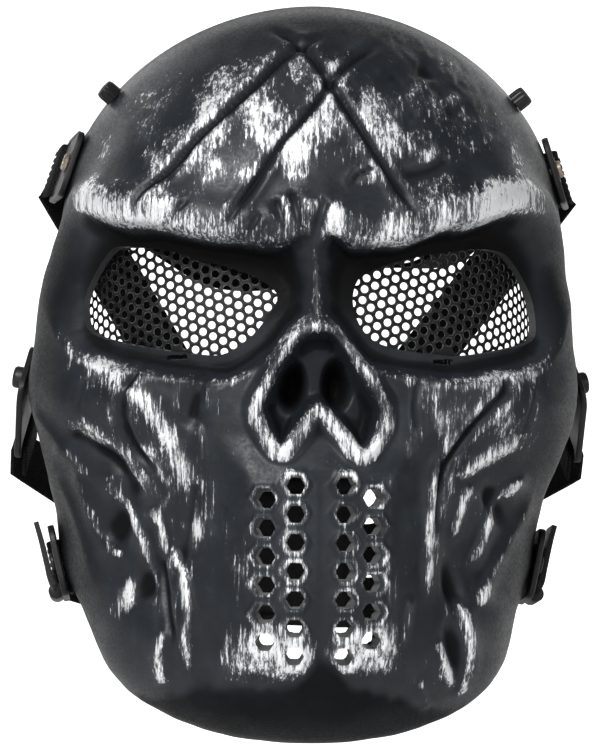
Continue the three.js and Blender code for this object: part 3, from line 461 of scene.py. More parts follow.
# %% Clip triangles and close their edges
def clip(faces, value, data):
    """Keeps the part of each triangle where value is over 0. Each cut edge gets one new point,
    at the share of its length where value is 0, for every array in data."""
    inside = value > 0
    count = inside[faces].sum(1)
    whole = faces[count == 3]
    one, two = faces[count == 1], faces[count == 2]
    turn_one = np.argmax(inside[one], 1)
    one = np.take_along_axis(one, (turn_one[:, None] + np.arange(3)) % 3, 1)
    turn_two = (np.argmin(inside[two], 1) + 1) % 3
    two = np.take_along_axis(two, (turn_two[:, None] + np.arange(3)) % 3, 1)
    pairs = np.vstack([one[:, [0, 1]], one[:, [0, 2]], two[:, [1, 2]], two[:, [0, 2]]])
    ordered = np.sort(pairs, 1)
    unique, index = np.unique(ordered, axis=0, return_inverse=True)
    index = index.reshape(-1) + len(value)
    a, b = unique[:, 0], unique[:, 1]
    t = value[a] / (value[a] - value[b])
    made = {name: np.concatenate([d, (d[a].T * (1 - t) + d[b].T * t).T]) for name, d in data.items()}
    n1, n2 = len(one), len(two)
    ab, ac = index[:n1], index[n1 : 2 * n1]
    bc, ca = index[2 * n1 : 2 * n1 + n2], index[2 * n1 + n2 :]
    out = np.vstack([
        whole,
        np.stack([one[:, 0], ab, ac], 1),
        np.stack([two[:, 0], two[:, 1], bc], 1),
        np.stack([two[:, 0], bc, ca], 1),
    ])
    edges = np.vstack([np.stack([ab, ac], 1), np.stack([bc, ca], 1)])
    used = np.zeros(len(value) + len(unique), int)
    used[out.reshape(-1)] = 1
    place = np.cumsum(used) - 1
    kept = {name: d[used > 0] for name, d in made.items()}
    return place[out], place[edges], kept


def grid_faces(rows, columns, flip=False):
    """The two triangles of every cell of a grid, split along alternate diagonals."""
    i, j = np.meshgrid(np.arange(rows - 1), np.arange(columns - 1), indexing="ij")
    a, b = (i * columns + j).reshape(-1), (i * columns + j + 1).reshape(-1)
    c, d = a + columns, b + columns
    odd = ((i + j) % 2).reshape(-1) == 1
    first = np.where(odd[:, None], np.stack([a, c, b], 1), np.stack([a, c, d], 1))
    second = np.where(odd[:, None], np.stack([b, c, d], 1), np.stack([a, d, b], 1))
    faces = np.vstack([first, second])
    return faces[:, ::-1] if flip else faces


def make_mesh(name, points, faces, attributes=None, smooth=True):
    """A mesh object from arrays: points in millimetres on the mask, faces as triangles."""
    mesh = bpy.data.meshes.new(name)
    points = (np.asarray(points, float) - BEARING) * MM
    faces = np.asarray(faces, np.int32)
    mesh.vertices.add(len(points))
    mesh.vertices.foreach_set("co", points.astype(np.float32).reshape(-1))
    mesh.loops.add(faces.size)
    mesh.loops.foreach_set("vertex_index", faces.reshape(-1))
    mesh.polygons.add(len(faces))
    mesh.polygons.foreach_set("loop_start", np.arange(0, faces.size, faces.shape[1], dtype=np.int32))
    mesh.polygons.foreach_set("use_smooth", np.full(len(faces), smooth))
    mesh.update(calc_edges=True)
    for key, values in (attributes or {}).items():
        layer = mesh.attributes.new(key, "FLOAT", "POINT")
        layer.data.foreach_set("value", np.asarray(values, np.float32))
    mesh.validate()
    piece = bpy.data.objects.new(name, mesh)
    bpy.context.scene.collection.objects.link(piece)
    return piece


# %% [markdown]
# ## The shell
# The outside is a fine grid over the face, closer together at the eyes, nose and mouth. The
# inside repeats it at half the number of points, one wall thickness behind the plain carving, or
# 1.2 mm behind the outside where a pit goes deeper. Both are clipped by the same outlines, and
# short walls join them. It is two pieces, because the fine outside alone is near the number of
# triangles that one piece may have.

# %% Work out the surface of the shell
COLUMNS, ROWS = 341, 293
THINNEST = 1.2


def closer_in_the_middle(count):
    """t (0.62 + 0.38 t^2), which puts the columns closer together over the nose."""
    t = np.linspace(-1, 1, count)
    return t * (0.62 + 0.38 * t * t)


def closer_at_the_face(count):
    """t less a small sine wave, which puts the rows closer together between brow and mouth."""
    t = np.linspace(0, 1, count)
    return t - 0.07 * (np.sin(2 * np.pi * (t - 0.55)) - math.sin(-2 * np.pi * 0.55))


def fade(across, down):
    """The relief dies away towards the edge of the mask, where the plates sit."""
    return (1 - soft_step(np.abs(across), 0.66, 0.84)) * soft_step(down, 0.12, 0.24)


def fine_fade(across, down):
    """The fine carving runs further, nearly to the edge."""
    return (1 - soft_step(np.abs(across), 0.72, 0.92)) * soft_step(down, 0.03, 0.14)


across, down = np.meshgrid(closer_in_the_middle(COLUMNS), closer_at_the_face(ROWS))
plain = plain_face(across, down)
normal = outward(across, down)
px, pz = plain[..., 0], plain[..., 2]
big = (hollows(px, pz) + swellings(px, pz)) * fade(across, down)
fine = fine_carving(px, pz) * fine_fade(across, down)
outside = plain + normal * (big + fine)[..., None]
behind = np.minimum(hollows(px, pz) * fade(across, down) - WALL, big + fine - THINNEST)
inside = plain + normal * behind[..., None]
cut = np.minimum.reduce([
    outside_of(outside[..., 0], outside[..., 2], eye["outline"]) for eye in EYES.values()
] + [off_slot(skin[..., 0], skin[..., 2], slot) for slot in SLOTS.values() for skin in (outside, inside)
] + [outside_hexagons(outside[..., 0], outside[..., 2])])
cut = np.where(outside[..., 1] < -DEPTH * 0.3, cut, 9)
print("big relief in mm:", big.min().round(1), "to", big.max().round(1))
print("fine relief in mm:", fine.min().round(1), "to", fine.max().round(1))

# %% [markdown]
# ## Where the paint is rubbed
# The silver is brushed on nearly dry, so it catches what stands proud: the brow, the lips of the
# grooves, the folds and the rims of the holes. The painter also laid it on in patches. Both go
# into one value for each point. A second value is black spray and painted shade: black in the
# sockets and the nose, darker the deeper they are let in, and painted shade under the chin, on
# the sides and crown that turn away from the light, and in the bottoms of the grooves. The shader
# breaks their edges up into strokes.

# %% Rubbed silver, black spray and painted shade
# Each patch is its middle, half width, half height, lean in degrees and strength.
PATCHES = [
    (-33, 75, 5, 6.5, 0, 0.75), (-37, 63, 4, 6, 0, 0.85), (-19, 62, 7, 9.5, 10, 1.05),
    (-34, 56, 4, 5, 0, 0.75),
    (-39, 45, 6, 9, 15, 1), (-24, 42, 4.5, 5, 10, 0.75), (-8, 48, 5, 10, 0, 1.25), (-7, 79, 3.5, 5, 0, 0.6),
    (-19, 81, 8, 3.5, 30, 0.65), (-48, 55, 4.5, 4.5, 0, 0.5), (-55, 46, 6, 6, 0, 0.5),
    (-53, 32, 5, 8, 0, 0.8),
    (-66, 42, 8, 8, 0, 0.3), (5, 27, 2.8, 5, 0, 1.05), (1, 62, 5.5, 9, 0, 0.6), (17, 68, 3.6, 7, 0, 0.75),
    (23, 56, 5, 9, 25, 0.65), (17, 42, 9, 5, 25, 0.6), (36, 37, 13, 6.5, 15, 0.62),
    (64, 36, 12, 6.5, 10, 0.85),
    (72, 49, 4, 7, 0, 0.62), (73, 66, 3, 7, 0, 0.4), (5, 83, 5, 4.5, 0, 0.5), (27, 87, 5, 5, 0, 0.5),
    (47, 84, 6, 3, -30, 0.6), (43, 66, 5, 5, 0, 0.55), (52, 66, 2.2, 3.4, 0, 0.6), (-60, 70, 6, 9, 0, 0.3),
    (37, 53, 7, 6, 0, 0.3), (-10, 30, 4, 7, 0, 0.4), (-85, -24, 3.4, 6, 0, 0.5), (-76, -20, 3.4, 3, 0, 0.6),
    (-69, -25, 6.5, 6, -35, 0.9), (-78, -46, 6, 4, -45, 0.75), (-67, -104, 3.6, 7.5, -20, 1.05),
    (64, -24, 6, 4, 0, 0.75), (75, -25, 2.6, 3.4, 0, 0.6), (41, -31, 3.6, 3.4, 0, 0.6),
    (48, -37, 6, 5, 30, 0.65),
    (35, -46, 2, 5.5, 10, 0.55), (45, -45, 3.4, 9, 20, 0.8), (66, -42, 4, 7.5, 20, 0.7),
    (62, -54, 15, 3.6, 35, 0.75),
    (32, -53, 2, 7, 0, 0.5), (62, -103, 2, 5, 0, 0.7), (41, -82, 4, 14, 0, 0.35), (47, -128, 2.4, 5, 10, 0.6),
    (-10, -119, 13, 9, 0, 1.15), (15, -117, 12, 8, 0, 0.95), (-26, -90, 5, 16, 0, 0.32),
    (-28, -119, 7, 9, 0, 0.55),
    (25, -90, 4, 18, 0, 0.3), (-41, -62, 3, 6, 0, 0.4), (10, -56, 3.4, 9, 0, 0.4), (-9, -58, 3, 7, 0, 0.35),
    (-35, -70, 4, 9, 0, 0.25), (2, -125, 4, 6, 0, 0.35), (-68, -70, 3, 6, -20, 0.3), 
    (-15, 60, 48, 26, 0, 0.42), (52, 56, 28, 24, 0, 0.26),
    (-60, -45, 20, 24, 0, 0.24), (58, -42, 20, 22, 0, 0.26), (0, -92, 24, 34, 0, 0.26),
    (-46, -75, 14, 30, 0, 0.24),
    (48, -85, 14, 34, 0, 0.22),
]
# Each stroke is its points, its half width and its strength.
STROKES = [
    ([(-73, 60), (-73, 50), (-77, 37), (-74, 31), (-66, 28)], 3.6, 1.1),
    ([(-63, -30), (-57, -34), (-52, -43), (-47, -53)], 3.4, 1.15),
    ([(-75, -45), (-66, -55), (-59, -65)], 2.8, 0.8),
    ([(-48, -52), (-44, -62), (-42, -74), (-40, -83)], 3.2, 1.05),
    ([(-61, -49), (-55, -57), (-51, -65)], 2, 0.65),
    ([(-51, -66), (-55, -75), (-53, -88)], 1.8, 0.7),
    ([(-50, -83), (-46, -92), (-44, -104)], 2.4, 0.6),
]
CHIN_LINE = np.array([
    (-60, -136), (-48, -134), (-40, -131), (-21, -130), (-6, -129), (-2, -123), (1, -119), (7, -122),
    (12, -129),
    (28, -133), (41, -139), (60, -140),
])


def blur(values, reach):
    """The mean over a square of cells, by differences of running sums along both directions."""
    for axis in (0, 1):
        ends = [(reach + 1, reach) if k == axis else (0, 0) for k in (0, 1)]
        sums = np.cumsum(np.pad(values, ends, mode="edge"), axis)
        top = [slice(None)] * 2
        low = [slice(None)] * 2
        top[axis], low[axis] = slice(2 * reach + 1, None), slice(None, -2 * reach - 1)
        values = (sums[tuple(top)] - sums[tuple(low)]) / (2 * reach + 1)
    return values


relief = big + fine
proud = relief - blur(blur(relief, 4), 4)
rub = 0.55 * soft_step(proud, 0.15, 0.9) - 0.9 * soft_step(-proud, 0.1, 0.7)
front = soft_step(-outside[..., 1], 10, 45)
for mx, mz, wide, tall, lean, strength in PATCHES:
    turn = math.radians(lean)
    dx, dz = px - mx, pz - mz
    a = (dx * math.cos(turn) + dz * math.sin(turn)) / wide
    b = (dz * math.cos(turn) - dx * math.sin(turn)) / tall
    rub = rub + strength * np.exp(-((a * a + b * b) ** 1.4))
for points, width, strength in STROKES:
    away, share = to_line(px, pz, round_line(points, 4))
    brushed = 0.8 * strength * bell(away, 0.85 * width)
    rub = rub + brushed * soft_step(share, -0.1, 0.15) * (1 - soft_step(share, 0.8, 1.1))
for points, rise, left, right in FOLDS:
    away, share = to_line(px, pz, round_line(points, 3))
    tapered = soft_step(share, 0, 0.2) * (1 - soft_step(share, 0.8, 1))
    rub = rub + 0.36 * rise * bell(away - 0.3, 1.4) * tapered
above_brow = pz - brow_height(px)
edge_share = 0.66 + 0.4 * lumps(px, pz, 9, 12)
brow_band = soft_step(above_brow, -2.2, 0.2) * (1 - soft_step(above_brow, 2, 11))
rub = rub + edge_share * brow_band * soft_step(np.abs(px + 1), 16, 24) * (np.abs(px) < 82)
under_brow = bell(above_brow + 4, 3.4) * soft_step(np.abs(px + 1), 22, 30)
under_brow = under_brow * (1 - soft_step(np.abs(px), 66, 78))
rub = rub + 0.45 * under_brow
nose = outside_of(px, pz, NOSE)
lobe = soft_step(-pz, 33, 43)
rub = rub + (0.4 + 0.3 * lobe) * bell(nose - 1.1 - 1.6 * lobe, 1.0 + 2.6 * lobe)
rub = rub + 0.35 * bell(nose - 3, 3.2) * soft_step(pz, -22, -12)
rims = outside_hexagons(px, pz)
rim_share = 0.34 + 0.25 * soft_step(-pz, 104, 114)
rub = rub + rim_share * bell(rims - 0.5, 0.8) * soft_step(np.abs(px - 1.3), 3, 6)
low_rows = soft_step(-pz, 106, 113) * (1 - soft_step(-pz, 122, 128))
rub = rub + 0.5 * low_rows * (1 - soft_step(np.abs(px - 1.3), 24, 30))
rub = rub - 0.7 * bell(px - 1.3, 4) * soft_step(-pz, 55, 64) - 0.9 * (nose < -2)
below_chin = np.interp(px, CHIN_LINE[:, 0], CHIN_LINE[:, 1]) - pz
chin = soft_step(below_chin + 1.2 * lumps(px, pz, 3, 8), -2, 5)
# Black spray and painted shade in the sockets and the nose: darker the deeper they are let in.
socket_spray_and_shade = soft_step(-hollows(px, pz) * (nose > 1), 4.5, 12)
socket_spray_and_shade = socket_spray_and_shade * (pz > -40) * (pz < 45) * (np.abs(px) < 92)
nose_spray_and_shade = soft_step(-nose, 0.5, 3) * (0.35 + 0.65 * soft_step(-hollows(px, pz), 5.5, 12))
# Painted shade: darker on the sides and the crown, which turn away from the light, below the chin line, and
# in the bottoms of the grooves.
sides = soft_step(np.abs(across), 0.44, 0.72)
crown = soft_step(pz, 78, 98)
spray_and_painted_shade = np.maximum.reduce([socket_spray_and_shade, nose_spray_and_shade, 0.72 * chin, 0.72 * sides, 0.5 * crown])
spray_and_painted_shade = np.maximum(spray_and_painted_shade, 0.75 * soft_step(-proud, 0.25, 1.3))
rub = (rub - 1.4 * socket_spray_and_shade - 1.5 * chin - 0.4 * sides - 0.2 * crown) * front
rub = np.where(rub > 0, 1.4 * (1 - np.exp(-rub / 0.95)), rub)
print("rubbed share of the points:", round(float((rub > 0.5).mean()), 3))

# %% Build the outside, the inside and the walls
faces = grid_faces(ROWS, COLUMNS)
# The black spray and painted shade is kept on the outside's points beside the silver.
data = {
    "at": outside.reshape(-1, 3), "in": inside.reshape(-1, 3),
    "rub": rub.reshape(-1), "spray_and_painted_shade": spray_and_painted_shade.reshape(-1),
}
faces, edges, kept = clip(faces, cut.reshape(-1), data)
shell = make_mesh("shell_outside", kept["at"], faces, {"rub": kept["rub"], "spray_and_painted_shade": kept["spray_and_painted_shade"]})
coarse_faces = grid_faces((ROWS + 1) // 2, (COLUMNS + 1) // 2, flip=True)
half = {"at": inside[::2, ::2].reshape(-1, 3)}
coarse_faces, _, coarse = clip(coarse_faces, cut[::2, ::2].reshape(-1), half)
base = len(coarse["at"])
a, b = edges[:, 0], edges[:, 1]
outer, inner = kept["at"], kept["in"]
wall_points = np.vstack([outer[a], outer[b], inner[b], inner[a]])
n = len(edges)
k = np.arange(n) + base
wall_faces = np.vstack([np.stack([k, k + n, k + 2 * n], 1), np.stack([k, k + 2 * n, k + 3 * n], 1)])
ring = [(0, slice(None)), (slice(None), -1), (-1, slice(None, None, -1)), (slice(None, None, -1), 0)]
outer_ring = np.vstack([outside[i, j] for i, j in ring])
inner_ring = np.vstack([inside[i, j] for i, j in ring])
middle_ring = (outer_ring + inner_ring) / 2
outer_edge = np.stack([outer_ring, outer_ring * 0.35 + middle_ring * 0.65, inner_ring], 1)
m = len(outer_ring)
edge_base = base + 4 * n
r, s = np.meshgrid(np.arange(m), np.arange(2), indexing="ij")
q = (edge_base + r * 3 + s).reshape(-1)
t = (edge_base + ((r + 1) % m) * 3 + s).reshape(-1)
edge_faces = np.vstack([np.stack([q, t, t + 1], 1), np.stack([q, t + 1, q + 1], 1)])
inside_points = np.vstack([coarse["at"], wall_points, outer_edge.reshape(-1, 3)])
inside_faces = np.vstack([coarse_faces, wall_faces, edge_faces])
lining = make_mesh("shell_inside", inside_points, inside_faces)
for piece in (shell, lining):
    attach(piece, "root")
    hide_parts("shell")
print("triangles outside", len(shell.data.polygons), "inside and walls", len(lining.data.polygons))

# %% [markdown]
# ## Shaders from a short list of nodes
# Every finish is built from the same few nodes. A helper adds one and wires its inputs, so a
# material reads as a recipe: what pattern, at what scale, driving which socket.

# %% Node helpers
def finish(name):
    """A new material with its tree, its shader and the object's own coordinates."""
    made = bpy.data.materials.new(name)
    made.use_nodes = True
    tree = made.node_tree
    shader = tree.nodes["Principled BSDF"]
    place = tree.nodes.new("ShaderNodeTexCoord").outputs["Object"]
    return made, tree, shader, place


def wire(tree, value, socket):
    """Links an output to a socket, or sets the socket to a plain value."""
    if isinstance(value, bpy.types.NodeSocket):
        tree.links.new(value, socket)
    else:
        socket.default_value = value


def wire_all(tree, node, values):
    """Wires each value to the node's socket of that name."""
    for socket, value in values.items():
        wire(tree, value, node.inputs[socket])


def stretched(tree, place, scale, turn=(0, 0, 0)):
    """The coordinates turned and multiplied, so that a pattern grows long along the smallest scale."""
    mapping = tree.nodes.new("ShaderNodeMapping")
    wire_all(tree, mapping, {"Vector": place, "Scale": scale, "Rotation": turn})
    return mapping.outputs["Vector"]


def noise(tree, place, scale, detail=3, rough=0.55):
    """Cloudy random values from 0 to 1."""
    made = tree.nodes.new("ShaderNodeTexNoise")
    wire_all(tree, made, {"Vector": place, "Scale": scale, "Detail": detail, "Roughness": rough})
    return made.outputs["Fac"]


def maths(tree, kind, a, b=0.0, clamp=False):
    """One sum, product or other operation on two values."""
    made = tree.nodes.new("ShaderNodeMath")
    made.operation = kind
    made.use_clamp = clamp
    wire(tree, a, made.inputs[0])
    wire(tree, b, made.inputs[1])
    return made.outputs[0]


def ramp(tree, value, low, high, start=0.0, end=1.0):
    """A soft step from start to end as the value goes from low to high."""
    made = tree.nodes.new("ShaderNodeMapRange")
    made.interpolation_type = "SMOOTHSTEP"
    wire_all(tree, made, {"Value": value, "From Min": low, "From Max": high, "To Min": start, "To Max": end})
    return made.outputs["Result"]


def mixed(tree, share, a, b):
    """One colour over another by a share."""
    made = tree.nodes.new("ShaderNodeMix")
    made.data_type = "RGBA"
    wire_all(tree, made, {"Factor": share, "A": a, "B": b})
    return made.outputs["Result"]


def bumped(tree, shader, height, distance, strength=1.0):
    """The height as a bump on the shader's normal, with its distance in metres."""
    made = tree.nodes.new("ShaderNodeBump")
    wire_all(tree, made, {"Strength": strength, "Distance": distance, "Height": height})
    tree.links.new(made.outputs["Normal"], shader.inputs["Normal"])


def separate(tree, place):
    """A node that gives the coordinates' X, Y and Z one by one."""
    made = tree.nodes.new("ShaderNodeSeparateXYZ")
    wire(tree, place, made.inputs["Vector"])
    return made


def painted_value(tree, name):
    """The value that is kept on the mesh's points under that name."""
    made = tree.nodes.new("ShaderNodeAttribute")
    made.attribute_name = name
    return made.outputs["Fac"]


# %% [markdown]
# ## The paint of the shell
# Gunmetal plastic with a satin skin, black spray and painted shade in the deep places, on the
# turned-away sides and under the chin, and a dry silver over what stands proud. A dry brush leaves
# fine upright scratches, so the silver's edge is broken by a noise that is stretched ten times
# along its height. On the cheeks the strokes lean.

# %% Gunmetal, black spray and painted shade, brushed silver
GUNMETAL = (0.0112, 0.0136, 0.0172, 1)
GUNMETAL_LIGHT = (0.022, 0.0265, 0.033, 1)
# The black of the spray and of the painted shade.
SPRAY_AND_SHADE_BLACK = (0.005, 0.005, 0.0048, 1)
SILVER = (0.86, 0.865, 0.88, 1)
DUSTED = (0.13, 0.137, 0.148, 1)

shell_paint, tree, shader, place = finish("gunmetal_rubbed_with_silver")
upright = noise(tree, stretched(tree, place, (800, 450, 75)), 1, 5, 0.78)
leaning = noise(tree, stretched(tree, place, (800, 450, 110), (0, math.radians(-32), 0)), 1, 5, 0.78)
clouds = noise(tree, place, 55, 4, 0.6)
specks = noise(tree, place, 900, 2, 0.5)
strokes = maths(tree, "MAXIMUM", upright, maths(tree, "MULTIPLY", leaning, 0.93))
rubbed = painted_value(tree, "rub")
streaked = maths(tree, "MULTIPLY", maths(tree, "SUBTRACT", strokes, 0.54), 4.7)
# dark_share is the black spray and painted shade: it darkens the colour, takes silver away and dulls the
# gloss.
dark_share = painted_value(tree, "spray_and_painted_shade")
rubbed = maths(tree, "SUBTRACT", rubbed, maths(tree, "MULTIPLY", dark_share, 0.9))
broken = maths(tree, "ADD", maths(tree, "MULTIPLY", maths(tree, "SUBTRACT", clouds, 0.54), 1.7), rubbed)
haze_share = ramp(tree, maths(tree, "ADD", broken, maths(tree, "MULTIPLY", streaked, 0.5)), 0.25, 1.2)
silver_share = ramp(tree, maths(tree, "ADD", broken, streaked), 0.58, 1.1)
under = mixed(tree, ramp(tree, clouds, 0.4, 0.75), GUNMETAL, GUNMETAL_LIGHT)
under = mixed(tree, dark_share, under, SPRAY_AND_SHADE_BLACK)
under = mixed(tree, haze_share, under, DUSTED)
rougher = maths(tree, "ADD", specks, maths(tree, "MULTIPLY", dark_share, 0.2))
wire_all(tree, shader, {
    "Base Color": mixed(tree, silver_share, under, SILVER),
    "Specular IOR Level": ramp(tree, dark_share, 0, 0.8, 0.24, 0.03),
    "Metallic": maths(tree, "MULTIPLY", silver_share, 0.55),
    "Roughness": ramp(tree, rougher, 0.3, 0.9, 0.36, 0.58),
})
speckled, brushed = maths(tree, "MULTIPLY", specks, 0.35), maths(tree, "MULTIPLY", strokes, silver_share)
grain = maths(tree, "ADD", speckled, brushed)
bumped(tree, shader, grain, 0.00014, 0.8)
shell.data.materials.append(shell_paint)

lining_finish, tree, shader, place = finish("black_moulded_inside")
flow = noise(tree, stretched(tree, place, (30, 30, 12)), 1, 3)
pores = noise(tree, place, 1400, 2)
wire_all(tree, shader, {
    "Base Color": mixed(tree, flow, (0.012, 0.012, 0.013, 1), (0.024, 0.025, 0.027, 1)),
    "Roughness": ramp(tree, flow, 0.2, 0.8, 0.42, 0.6),
})
bumped(tree, shader, pores, 0.00012, 0.5)
lining.data.materials.append(lining_finish)
print("materials so far:", len(bpy.data.materials))

# %% [markdown]
# ## The eye screens
# Each screen is thin steel punched with round holes in staggered rows. Punching nearly two
# hundred holes with booleans would be slow, so the sheet is built from cells instead: one
# six-sided cell holds one hole, and the cells fit together without gaps. The rows are measured
# along the bent sheet, which is why the holes look narrower where it turns away at the temple.

# %% The bend of the sheet
SCREEN_THICK = 1.0
SCREEN_LAP = 3.2
HOLE_PITCH = 3.85
HOLE_RADIUS = 1.36
HOLE_BEVEL = 0.17
WHOLE_INSIDE, WHOLE_OFF_SLOT = 1.9, 2.2
MOST_ACROSS, DOWN_LIMITS, RULER_REACH = 0.7, (0.15, 0.75), 40
ROWS_FALL = {"left": math.radians(-23), "right": math.radians(19)}


def sheet_point(across, down, eye, behind):
    """The plain face, moved inwards by the depth of the socket and a distance behind it."""
    place = plain_face(across, down)
    depth = socket_depth(place[..., 2], eye) + behind
    return place - outward(across, down) * depth[..., None]


def on_sheet(x, z, eye, behind=WALL + GAP):
    """Newton's way: a guess at across and down is corrected until it lands on x and z. Across is
    held to 0.7 of the way round, so the outermost corner at the temple isn't solved. Its points
    keep their x and z, and their depth goes no further back than the solid screen does."""
    across, down = x / 150, 0.42 - z / 300
    step = 1e-3
    for _ in range(7):
        here = sheet_point(across, down, eye, behind)
        to_side = (sheet_point(across + step, down, eye, behind) - here) / step
        to_foot = (sheet_point(across, down + step, eye, behind) - here) / step
        miss_x, miss_z = x - here[..., 0], z - here[..., 2]
        area = to_side[..., 0] * to_foot[..., 2] - to_side[..., 2] * to_foot[..., 0]
        across = across + (miss_x * to_foot[..., 2] - miss_z * to_foot[..., 0]) / area
        down = down + (miss_z * to_side[..., 0] - miss_x * to_side[..., 2]) / area
        across, down = np.clip(across, -MOST_ACROSS, MOST_ACROSS), np.clip(down, *DOWN_LIMITS)
    depth = sheet_point(across, down, eye, behind)[..., 1]
    label = "left" if eye["side"] < 0 else "right"
    deepest = float(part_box("eye_screen_" + label)[1][1]) / MM + BEARING[1]
    return np.stack([x, np.minimum(depth, deepest), z], -1)


def ruler_along(label):
    """Steps in x, and the length of sheet from the middle of the eye to each of them."""
    eye = EYES[label]
    middle_x = eye["side"] * EYE_SPREAD / 2
    x = np.linspace(middle_x - RULER_REACH, middle_x + RULER_REACH, 161)
    bend = on_sheet(x, np.full(len(x), float(eye["rise"])), eye)
    length = np.concatenate([[0], np.cumsum(np.hypot(np.diff(bend[:, 0]), np.diff(bend[:, 1])))])
    return x, length - np.interp(middle_x, x, length)


for label in EYES:
    steps, length = ruler_along(label)
    sheet = round(float(length[-1] - length[0]), 1)
    print(label, "eye:", 2 * RULER_REACH, "mm across needs", sheet, "mm of sheet")


# %% [markdown]
# The cells are laid out in flat rows, and one array holds every corner of every cell. Around
# each hole runs a small bevel, because a punch rounds the edge and that edge catches the light.
# Cells over the border stay whole, so the border itself can be clipped clean.

# %% Cells, holes and the border
def cell_centres(label, edge):
    """Staggered rows, turned to fall towards the nose, in lengths of sheet by millimetres up."""
    fall, eye = ROWS_FALL[label], EYES[label]
    row, place = np.meshgrid(np.arange(-14, 15), np.arange(-17, 18), indexing="ij")
    a = (place + 0.5 * (row % 2)).reshape(-1) * HOLE_PITCH
    b = row.reshape(-1) * HOLE_PITCH * math.sqrt(3) / 2
    along = a * math.cos(fall) - b * math.sin(fall)
    up = a * math.sin(fall) + b * math.cos(fall) + eye["rise"]
    x, length = ruler_along(label)
    near = (along > length[0]) & (along < length[-1])
    near = near & (outside_of(np.interp(along, length, x), up, edge) < 2.6)
    return along[near], up[near], x, length


def strip(low, high):
    """Two triangles for each step between two rings that have the same number of points."""
    after_low, after_high = np.roll(low, -1, -1), np.roll(high, -1, -1)
    first, second = np.stack([low, after_low, after_high], -1), np.stack([low, after_high, high], -1)
    return np.concatenate([first.reshape(-1, 3), second.reshape(-1, 3)])


def welded(points, faces, values=None):
    """Points that share a place, to a thousandth of a millimetre, become one point."""
    _, first, same = np.unique(np.round(points, 3), axis=0, return_index=True, return_inverse=True)
    faces = same.reshape(-1)[faces]
    real = (faces[:, 0] != faces[:, 1]) & (faces[:, 1] != faces[:, 2]) & (faces[:, 2] != faces[:, 0])
    return points[first], faces[real], None if values is None else values[first]


def stacked(parts):
    """Several pairs of points and faces as one pair."""
    shift = np.cumsum([0] + [len(points) for points, _ in parts])
    faces = np.vstack([faces + start for (_, faces), start in zip(parts, shift)])
    return np.vstack([points for points, _ in parts]), faces


def punched_sheet(label):
    """A ring from each cell's six sides to its bevel, then rings down through the hole. The back
    has the same faces, and the border is joined from front to back."""
    eye, slot, fall = EYES[label], SLOTS[label], ROWS_FALL[label]
    middle = np.array([eye["side"] * EYE_SPREAD / 2, eye["rise"]])
    grown = 1 + 2 * SCREEN_LAP / np.array([EYE_WIDTH, EYE_HEIGHT])
    edge = (eye["outline"] - middle) * grown + middle
    along, up, x, length = cell_centres(label, edge)
    centre_x = np.interp(along, length, x)
    is_open = outside_of(centre_x, up, edge) < -WHOLE_INSIDE
    is_open = is_open & (off_slot(centre_x, up, slot) > WHOLE_OFF_SLOT)
    turn = np.arange(12) * np.pi / 6
    within = (turn + np.pi / 6) % (np.pi / 3) - np.pi / 6
    bevelled, bare = np.full(12, HOLE_RADIUS + HOLE_BEVEL), np.full(12, HOLE_RADIUS)
    radii = [HOLE_PITCH / 2 / np.cos(within), bevelled, bare, np.zeros(12)]
    flat = along[:, None, None] + np.stack(radii) * np.cos(turn + fall)
    high = up[:, None, None] + np.stack(radii) * np.sin(turn + fall)
    x_at = np.interp(flat, length, x)
    front = on_sheet(x_at, high, eye)
    under = on_sheet(x_at, high, eye, WALL + GAP + SCREEN_THICK)
    count = len(along)
    ring = np.arange(count * 48).reshape(count, 4, 12)
    round_holes = strip(ring[is_open, 0], ring[is_open, 1])
    filled = strip(ring[~is_open, 0], ring[~is_open, 3])
    faces = np.concatenate([round_holes, filled])
    # The glint value marks where a painted highlight goes: the bevel round each hole.
    glint = np.broadcast_to(np.array([0, 1, 1, 0.0])[:, None], (count, 4, 12)).reshape(-1)
    inside = np.minimum(-outside_of(x_at, high, edge), off_slot(x_at, high, slot)).reshape(-1)
    data = {"at": front.reshape(-1, 3), "under": under.reshape(-1, 3), "glint": glint}
    faces, border, kept = clip(faces, inside, data)
    a, b = border[:, 0], border[:, 1]
    size = len(a)
    corners = np.vstack([kept["at"][a], kept["at"][b], kept["under"][b], kept["under"][a]])
    first, second, third, fourth = np.arange(4 * size).reshape(4, size)
    wall = np.vstack([np.stack([first, second, third], 1), np.stack([first, third, fourth], 1)])
    shares = (0.0, 0.16, 0.84, 1.0)
    depths = [front[is_open, r] * (1 - s) + under[is_open, r] * s for r, s in zip((1, 2, 2, 1), shares)]
    holes = np.stack(depths, 1)
    tube = np.arange(len(holes) * 48).reshape(len(holes), 4, 12)
    hole_faces = np.concatenate([strip(tube[:, k], tube[:, k + 1]) for k in range(3)])
    points, faces = stacked([
        (kept["at"], faces), (kept["under"], faces[:, ::-1]), (corners, wall),
        (holes.reshape(-1, 3), hole_faces),
    ])
    # The painted highlight runs down into the hole and is weaker on the back.
    bevel = np.broadcast_to(np.array([1, 0.8, 0, 0.4])[:, None], (len(holes), 4, 12)).reshape(-1)
    values = np.concatenate([kept["glint"], kept["glint"] * 0.4, np.zeros(4 * size), bevel])
    return (*welded(points, faces, values), int(is_open.sum()))


screens = []
for label in EYES:
    points, faces, values, holes = punched_sheet(label)
    piece = make_mesh("punched_screen_" + label, points, faces, {"glint": values})
    piece.data.set_sharp_from_angle(angle=math.radians(50))
    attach(piece, "root")
    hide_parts("eye_screen_" + label)
    screens.append(piece)
    print(label, "screen:", holes, "holes,", len(faces), "triangles")

# %% [markdown]
# ## Where the hardware sits
# Every plate, screw and strap starts from a small set of axes on the shell: back along the
# plate, across it, and straight out from the shell. They are worked out from the same shares
# as the solids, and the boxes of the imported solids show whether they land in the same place.

